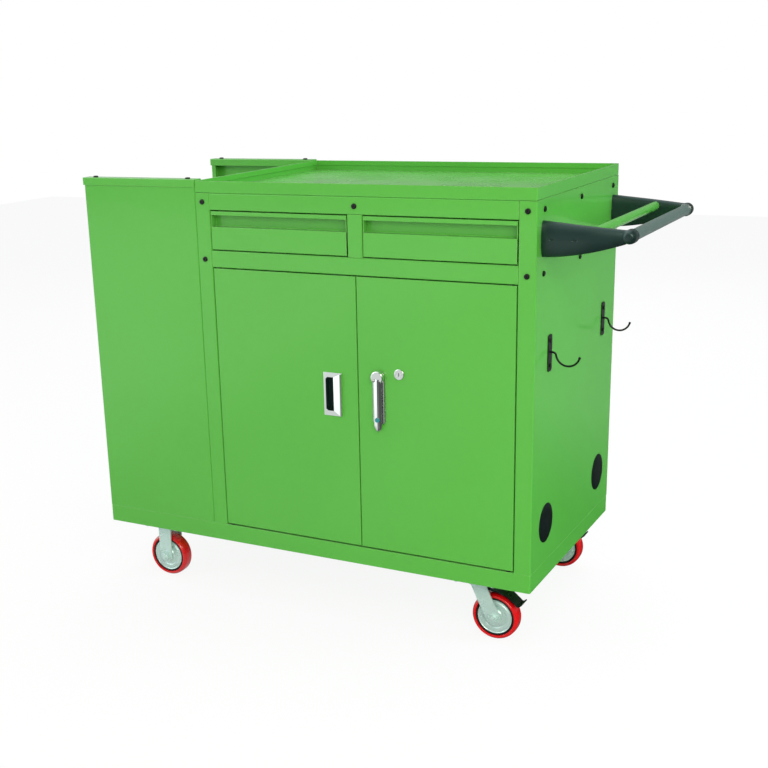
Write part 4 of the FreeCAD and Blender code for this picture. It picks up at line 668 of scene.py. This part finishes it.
def makeArm(row, outward):
    # outward is -1 where the arm's outer face looks to the front
    low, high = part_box("handle_arm_" + row)
    tubeLow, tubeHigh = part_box("handle_grip_tube")
    outerY = low.y if outward < 0 else high.y
    innerY = high.y if outward < 0 else low.y
    tipX = (tubeLow.x + tubeHigh.x) / 2
    tipZ = (tubeLow.z + tubeHigh.z) / 2
    root = Vector((low.x, outerY, tipZ - arm["rise"] * mm))
    reach = tipX - low.x
    form = bmesh.new()
    first = -arm["overrun"] * mm / reach
    last = arm["rings"] - 1
    shares = [first + (arm["lastShare"] - first) * k / last for k in range(arm["rings"])]
    joinRings(form, [armRing(form, share, root, reach, outward) for share in shares], closed=False)
    length = abs(innerY - outerY) / mm
    radius = arm["knuckleRadius"]
    centre = Vector((tipX, outerY, tipZ))
    knuckle = [(arm["axisRadius"], arm["knuckleFoot"], 0)]
    knuckle += [(radius - inset, along, rounding) for inset, along, rounding in arm["knuckleNose"]]
    knuckle += [(radius - inset, length - back, rounding) for inset, back, rounding in arm["knuckleEnd"]]
    knuckle.append((arm["axisRadius"], knuckle[-1][1], 0))
    outline = [(spot.x * mm, -outward * spot.y * mm) for spot in softCorners(knuckle, closed=False)]
    turnOutline(form, outline, centre, closed=False)
    name = "handleArm_" + row
    mesh = finishMesh(name, form)
    piece = bpy.data.objects.new(name, mesh)
    bpy.context.scene.collection.objects.link(piece)
    fused = piece.modifiers.new("fused", "REMESH")
    fused.mode = "VOXEL"
    fused.voxel_size = arm["voxel"] * mm
    eased = piece.modifiers.new("eased", "SMOOTH")
    eased.iterations, eased.factor = arm["smoothing"]
    evaluated = piece.evaluated_get(bpy.context.evaluated_depsgraph_get())
    smoothed = bpy.data.meshes.new_from_object(evaluated)
    bpy.data.objects.remove(piece)
    form = bmesh.new()
    form.from_mesh(smoothed)
    everything = form.verts[:] + form.edges[:] + form.faces[:]
    cut = bmesh.ops.bisect_plane(form, geom=everything, plane_co=root, plane_no=(1, 0, 0), clear_inner=True)
    rim = [item for item in cut["geom_cut"] if isinstance(item, bmesh.types.BMEdge)]
    bmesh.ops.contextual_create(form, geom=rim)
    slotWidth, slotHeight, slotDepth = arm["slotSize"]
    for vertex in form.verts:
        across = (vertex.co.x - root.x) / mm
        upward = (vertex.co.z - root.z) / mm
        nearOuter = abs(vertex.co.y - outerY) < arm["slotReach"] * mm
        for spot in arm["slots"]:
            if nearOuter and abs(across - spot) < slotWidth / 2 and abs(upward) < slotHeight / 2:
                vertex.co.y -= outward * slotDepth * mm
    addPiece(name, finishMesh(name, form), "root", "black_plastic", ("handle_arm_" + row,),
             sharpAngle=arm["sharpAngle"])
    # ribbed collar and a bright ring where the grip tube goes in
    start, stop = arm["collarEnds"]
    collar = [(arm["collarBore"], length - start, 0)]
    for k in range(arm["ribs"]):
        collar += [(radius - inset, length - back + arm["ribPitch"] * k, rounding)
                   for inset, back, rounding in arm["ribCorners"]]
    collar.append((arm["collarBore"], length - stop, 0))
    turnedPiece("armCollar_" + row, collar, centre, "root", "black_plastic", way=-outward)
    ring = [(across, length + along, rounding) for across, along, rounding in arm["brightRing"]]
    turnedPiece("gripRing_" + row, ring, centre, "root", "satin_steel", way=-outward)


makeArm("front", -1)
makeArm("rear", 1)
print("push handle arms moulded")


# swing handle's lever: a crowned bar with a faint ridge, tapered and rounded at its tip
leverShape = {
    "crown": 3.0,
    "crownCurve": 1.6,
    "ridge": 0.4,
    "ridgeShare": 0.22,          # ridge's half width as a share of the bar's
    "sides": 24,
    "foot": ((0.0, 0.6), (0.5, 0.1)),    # in from the side, up from the back
    "topRings": (0.0, 0.4, 1.2, 4.0),
    "topEase": 1.2,
    "topFace": 0.9,              # thickness at the very top and at the very tip, and width at the tip
    "tipFace": 0.72,
    "tipWidth": 0.45,
    "ringStep": 4.0,
    "plainEnds": 24.0,           # no evenly spaced rings over this much of the length
    "taper": 13.0,
    "taperRings": 16,
    "tipRings": (0.35, 0.05),
    "tipHalf": 3.6,
    "tipRound": 4.5,
    "tipLeast": 0.02,
    "sharpAngle": 50,
    "buttonGap": 0.25,
    "wellDepth": 5.2,
    "wellAbove": 2.0,
    "wellAxis": 0.4,
    "wellSegments": 48,
}


def makeLever():
    low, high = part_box("handle_lever")
    middleX = (low.x + high.x) / 2
    half = (high.x - low.x) / 2 / mm
    thick = (high.y - low.y) / mm
    length = (high.z - low.z) / mm
    form = bmesh.new()
    step = leverShape["ringStep"]
    count = leverShape["taperRings"]
    drops = list(leverShape["topRings"])
    drops += [drops[-1] + step + step * k for k in range(int((length - leverShape["plainEnds"]) / step))]
    drops += [length - leverShape["taper"] * (1 - k / count) for k in range(count)]
    drops += [length - left for left in leverShape["tipRings"]]
    rings = []
    for drop in sorted(drops):
        left = length - drop
        inTaper = min(left / leverShape["taper"], 1.0)
        width = leverShape["tipHalf"] + (half - leverShape["tipHalf"]) * math.sin(inTaper * math.pi / 2)
        tip = min(left / leverShape["tipRound"], 1.0)
        roundness = math.sqrt(max(1 - (1 - tip) ** 2, leverShape["tipLeast"]))
        width *= leverShape["tipWidth"] + (1 - leverShape["tipWidth"]) * roundness
        topEase = min(drop / leverShape["topEase"], 1.0)
        face = thick * (leverShape["tipFace"] + (1 - leverShape["tipFace"]) * roundness)
        face *= leverShape["topFace"] + (1 - leverShape["topFace"]) * topEase
        ring = []
        for k in range(leverShape["sides"] + 1):
            across = -1 + 2 * k / leverShape["sides"]
            sunk = leverShape["crown"] * abs(across) ** leverShape["crownCurve"]
            sunk += leverShape["ridge"] * min(abs(across) / leverShape["ridgeShare"], 1.0)
            ring.append((across * width, face - sunk))
        foot = [(width - inset, up) for inset, up in leverShape["foot"]]
        ring += foot + [(-x, y) for x, y in foot[::-1]]
        rings.append([form.verts.new(Vector((middleX + x * mm, high.y - y * mm, high.z - drop * mm)))
                      for x, y in ring])
    joinRings(form, rings, closed=False)
    bar = bpy.data.objects.new("leverBar", finishMesh("leverBar", form))
    bpy.context.scene.collection.objects.link(bar)
    buttonLow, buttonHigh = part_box("lever_button")
    centre = (buttonLow + buttonHigh) / 2
    centre.y = buttonLow.y
    wellRadius = (buttonHigh.x - buttonLow.x) / 2 / mm + leverShape["buttonGap"]
    form = bmesh.new()
    axis, above, depth = (leverShape[key] for key in ("wellAxis", "wellAbove", "wellDepth"))
    corners = ((axis, -above), (wellRadius, -above), (wellRadius, depth), (axis, depth))
    outline = [(radius * mm, along * mm) for radius, along in corners]
    turnOutline(form, outline, centre, closed=False, segments=leverShape["wellSegments"])
    cutter = bpy.data.objects.new("wellCutter", finishMesh("wellCutter", form))
    bpy.context.scene.collection.objects.link(cutter)
    bored = bar.modifiers.new("bored", "BOOLEAN")
    bored.operation = "DIFFERENCE"
    bored.object = cutter
    bored.solver = "EXACT"
    mesh = bpy.data.meshes.new_from_object(bar.evaluated_get(bpy.context.evaluated_depsgraph_get()))
    mesh.name = "swingLever"
    mesh.materials.clear()
    bpy.data.objects.remove(bar)
    bpy.data.objects.remove(cutter)
    addPiece("swingLever", mesh, "swing_lever", "chrome", ("handle_lever",),
             sharpAngle=leverShape["sharpAngle"])


makeLever()
print("swing lever shaped")


# floor, light and camera
stageLook = {
    "size": 14.0,
    "colour": (0.93, 0.93, 0.93, 1),
    "glow": 0.90,                             # how far the floor is lifted to white where it is seen directly
    # the rest are ramps: from and to, then the brightness at each
    "skylight": (-0.1, 0.9, 0.22, 0.55),      # by height, from the horizon to overhead
    "paleCard": (0.55, 1.3, 0.20, 1.80),      # dark room to a pale card high on the left, in reflections
    "shineForward": (-0.9, 0.5, 0.95, 0.30),  # floor in reflections, from before the chest to behind it
    "shineLeft": (-1.8, -1.0, 1.5, 0.72),
    "shineRight": (-0.35, 0.5, 1.0, 0.12),
    "shineBehind": (0.6, 1.6, 0.0, 0.24),
}


def makeFloor():
    mesh = bpy.data.meshes.new("floor")
    half = stageLook["size"] / 2
    corners = [(-half, -half, 0), (half, -half, 0), (half, half, 0), (-half, half, 0)]
    mesh.from_pydata(corners, [], [(0, 1, 2, 3)])
    floor = bpy.data.objects.new("floor", mesh)
    bpy.context.scene.collection.objects.link(floor)
    material, tree, shader, place = newMaterial("paleFloor", Roughness=0.9)
    shade = useGroup(tree, colourDrift, Vector=place, Colour=stageLook["colour"], Scale=0.8, Amount=0.02,
                     Mottle=0.01)
    tree.links.new(shade["Colour"], shader.inputs["Base Color"])
    glow = addNode(tree, "ShaderNodeEmission", {"Color": (1, 1, 1, 1), "Strength": 1.0})
    path = tree.nodes.new("ShaderNodeLightPath")
    lifted = doMaths(tree, "MULTIPLY", path.outputs["Is Camera Ray"], stageLook["glow"])
    bright = addNode(tree, "ShaderNodeMixShader", {0: lifted, 1: shader.outputs[0], 2: glow.outputs[0]})
    spot = addNode(tree, "ShaderNodeSeparateXYZ", {0: place})
    near = remap(tree, spot.outputs["Y"], *stageLook["shineForward"])
    left = remap(tree, spot.outputs["X"], *stageLook["shineLeft"])
    right = remap(tree, spot.outputs["X"], *stageLook["shineRight"])
    behind = remap(tree, spot.outputs["Y"], *stageLook["shineBehind"])
    shine = doMaths(tree, "MULTIPLY", near, doMaths(tree, "MULTIPLY", left, right))
    shine = doMaths(tree, "ADD", shine, behind)
    mirrored = addNode(tree, "ShaderNodeEmission", {"Color": (0.97, 1.0, 0.98, 1), "Strength": shine})
    mixed = addNode(tree, "ShaderNodeMixShader", {0: path.outputs["Is Glossy Ray"], 1: bright.outputs[0],
                                                  2: mirrored.outputs[0]})
    output = next(node for node in tree.nodes if node.bl_idname == "ShaderNodeOutputMaterial")
    tree.links.new(mixed.outputs[0], output.inputs["Surface"])
    mesh.materials.append(material)


def makeStudio():
    # white where it is seen directly, and a softer sky, brighter overhead, for light and reflections
    world = bpy.data.worlds.new("studio")
    world.use_nodes = True
    tree = world.node_tree
    tree.nodes.clear()
    way = tree.nodes.new("ShaderNodeTexCoord").outputs["Generated"]
    parts = addNode(tree, "ShaderNodeSeparateXYZ", {0: way})
    height = parts.outputs["Z"]
    lighting = remap(tree, height, *stageLook["skylight"])
    leftward = doMaths(tree, "SUBTRACT", height, parts.outputs["X"])
    mirrored = remap(tree, leftward, *stageLook["paleCard"])
    path = tree.nodes.new("ShaderNodeLightPath")
    mirroredOnly = doMaths(tree, "MULTIPLY", mirrored, path.outputs["Is Glossy Ray"])
    notMirrored = doMaths(tree, "SUBTRACT", 1.0, path.outputs["Is Glossy Ray"])
    strength = doMaths(tree, "ADD", mirroredOnly, doMaths(tree, "MULTIPLY", lighting, notMirrored))
    soft = addNode(tree, "ShaderNodeBackground", {"Color": (0.96, 0.98, 1.0, 1), "Strength": strength})
    seen = addNode(tree, "ShaderNodeBackground", {"Color": (1, 1, 1, 1), "Strength": 1.0})
    both = addNode(tree, "ShaderNodeMixShader", {0: path.outputs["Is Camera Ray"], 1: soft.outputs[0],
                                                 2: seen.outputs[0]})
    output = tree.nodes.new("ShaderNodeOutputWorld")
    tree.links.new(both.outputs[0], output.inputs["Surface"])
    bpy.context.scene.world = world


def addSoftLight(name, target, place, size, power, tint=(1, 1, 1), mirrored=True):
    data = bpy.data.lights.new(name, "AREA")
    data.shape = "RECTANGLE"
    data.size, data.size_y = size
    data.energy = power
    data.color = tint
    light = bpy.data.objects.new(name, data)
    light.visible_camera = False
    light.visible_glossy = mirrored
    light.location = place
    light.rotation_euler = (Vector(target) - Vector(place)).to_track_quat("-Z", "Y").to_euler()
    bpy.context.scene.collection.objects.link(light)


view = {
    "fromCorner": (0.7524, -2.1791, 1.0276),      # from the base's front right lower corner
    "yaw": 29.06,
    "pitch": 16.95,
    "roll": -1.83,
    "lens": 57.99,
    "sensor": 36.0,
    "shift": (0.078, 0.073),
}


def makeCamera():
    low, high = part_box("base_tray")
    corner = Vector((high.x, low.y, low.z))
    yaw, pitch, roll = (math.radians(view[key]) for key in ("yaw", "pitch", "roll"))
    ahead = Vector((-math.sin(yaw) * math.cos(pitch), math.cos(yaw) * math.cos(pitch), -math.sin(pitch)))
    level = Vector((math.cos(yaw), math.sin(yaw), 0))
    upright = level.cross(ahead)
    right = level * math.cos(roll) + upright * math.sin(roll)
    up = upright * math.cos(roll) - level * math.sin(roll)
    data = bpy.data.cameras.new("camera")
    data.lens = view["lens"]
    data.sensor_width = view["sensor"]
    data.shift_x, data.shift_y = view["shift"]
    camera = bpy.data.objects.new("camera", data)
    camera.matrix_world = Matrix((right, up, -ahead)).transposed().to_4x4()
    camera.location = corner + Vector(view["fromCorner"])
    bpy.context.scene.collection.objects.link(camera)
    bpy.context.scene.camera = camera


makeFloor()
makeStudio()
middle = (cadBox[0] + cadBox[1]) / 2
softLights = {
    "keyLight": {"place": (2.0, -2.5, 2.1), "size": (2.2, 1.8), "power": 63, "tint": (1.0, 0.94, 0.80)},
    "fillLight": {"place": (-2.8, -2.6, 1.7), "size": (2.4, 2.0), "power": 26, "tint": (0.93, 1.0, 0.98)},
    "topLight": {"place": (0.1, 0.5, 3.4), "size": (3.2, 2.4), "power": 40, "mirrored": False},
    "sideLight": {"place": (3.4, 1.2, 1.6), "size": (1.6, 1.8), "power": 40, "tint": (0.62, 0.97, 1.0),
                  "mirrored": False},
    "backLight": {"place": (-1.2, 3.4, 2.3), "size": (2.4, 2.0), "power": 34, "mirrored": False},
}
for name, look in softLights.items():
    addSoftLight(name, middle, **look)
makeCamera()
bpy.context.scene.view_settings.view_transform = "Standard"
print("stage, lights and camera placed")
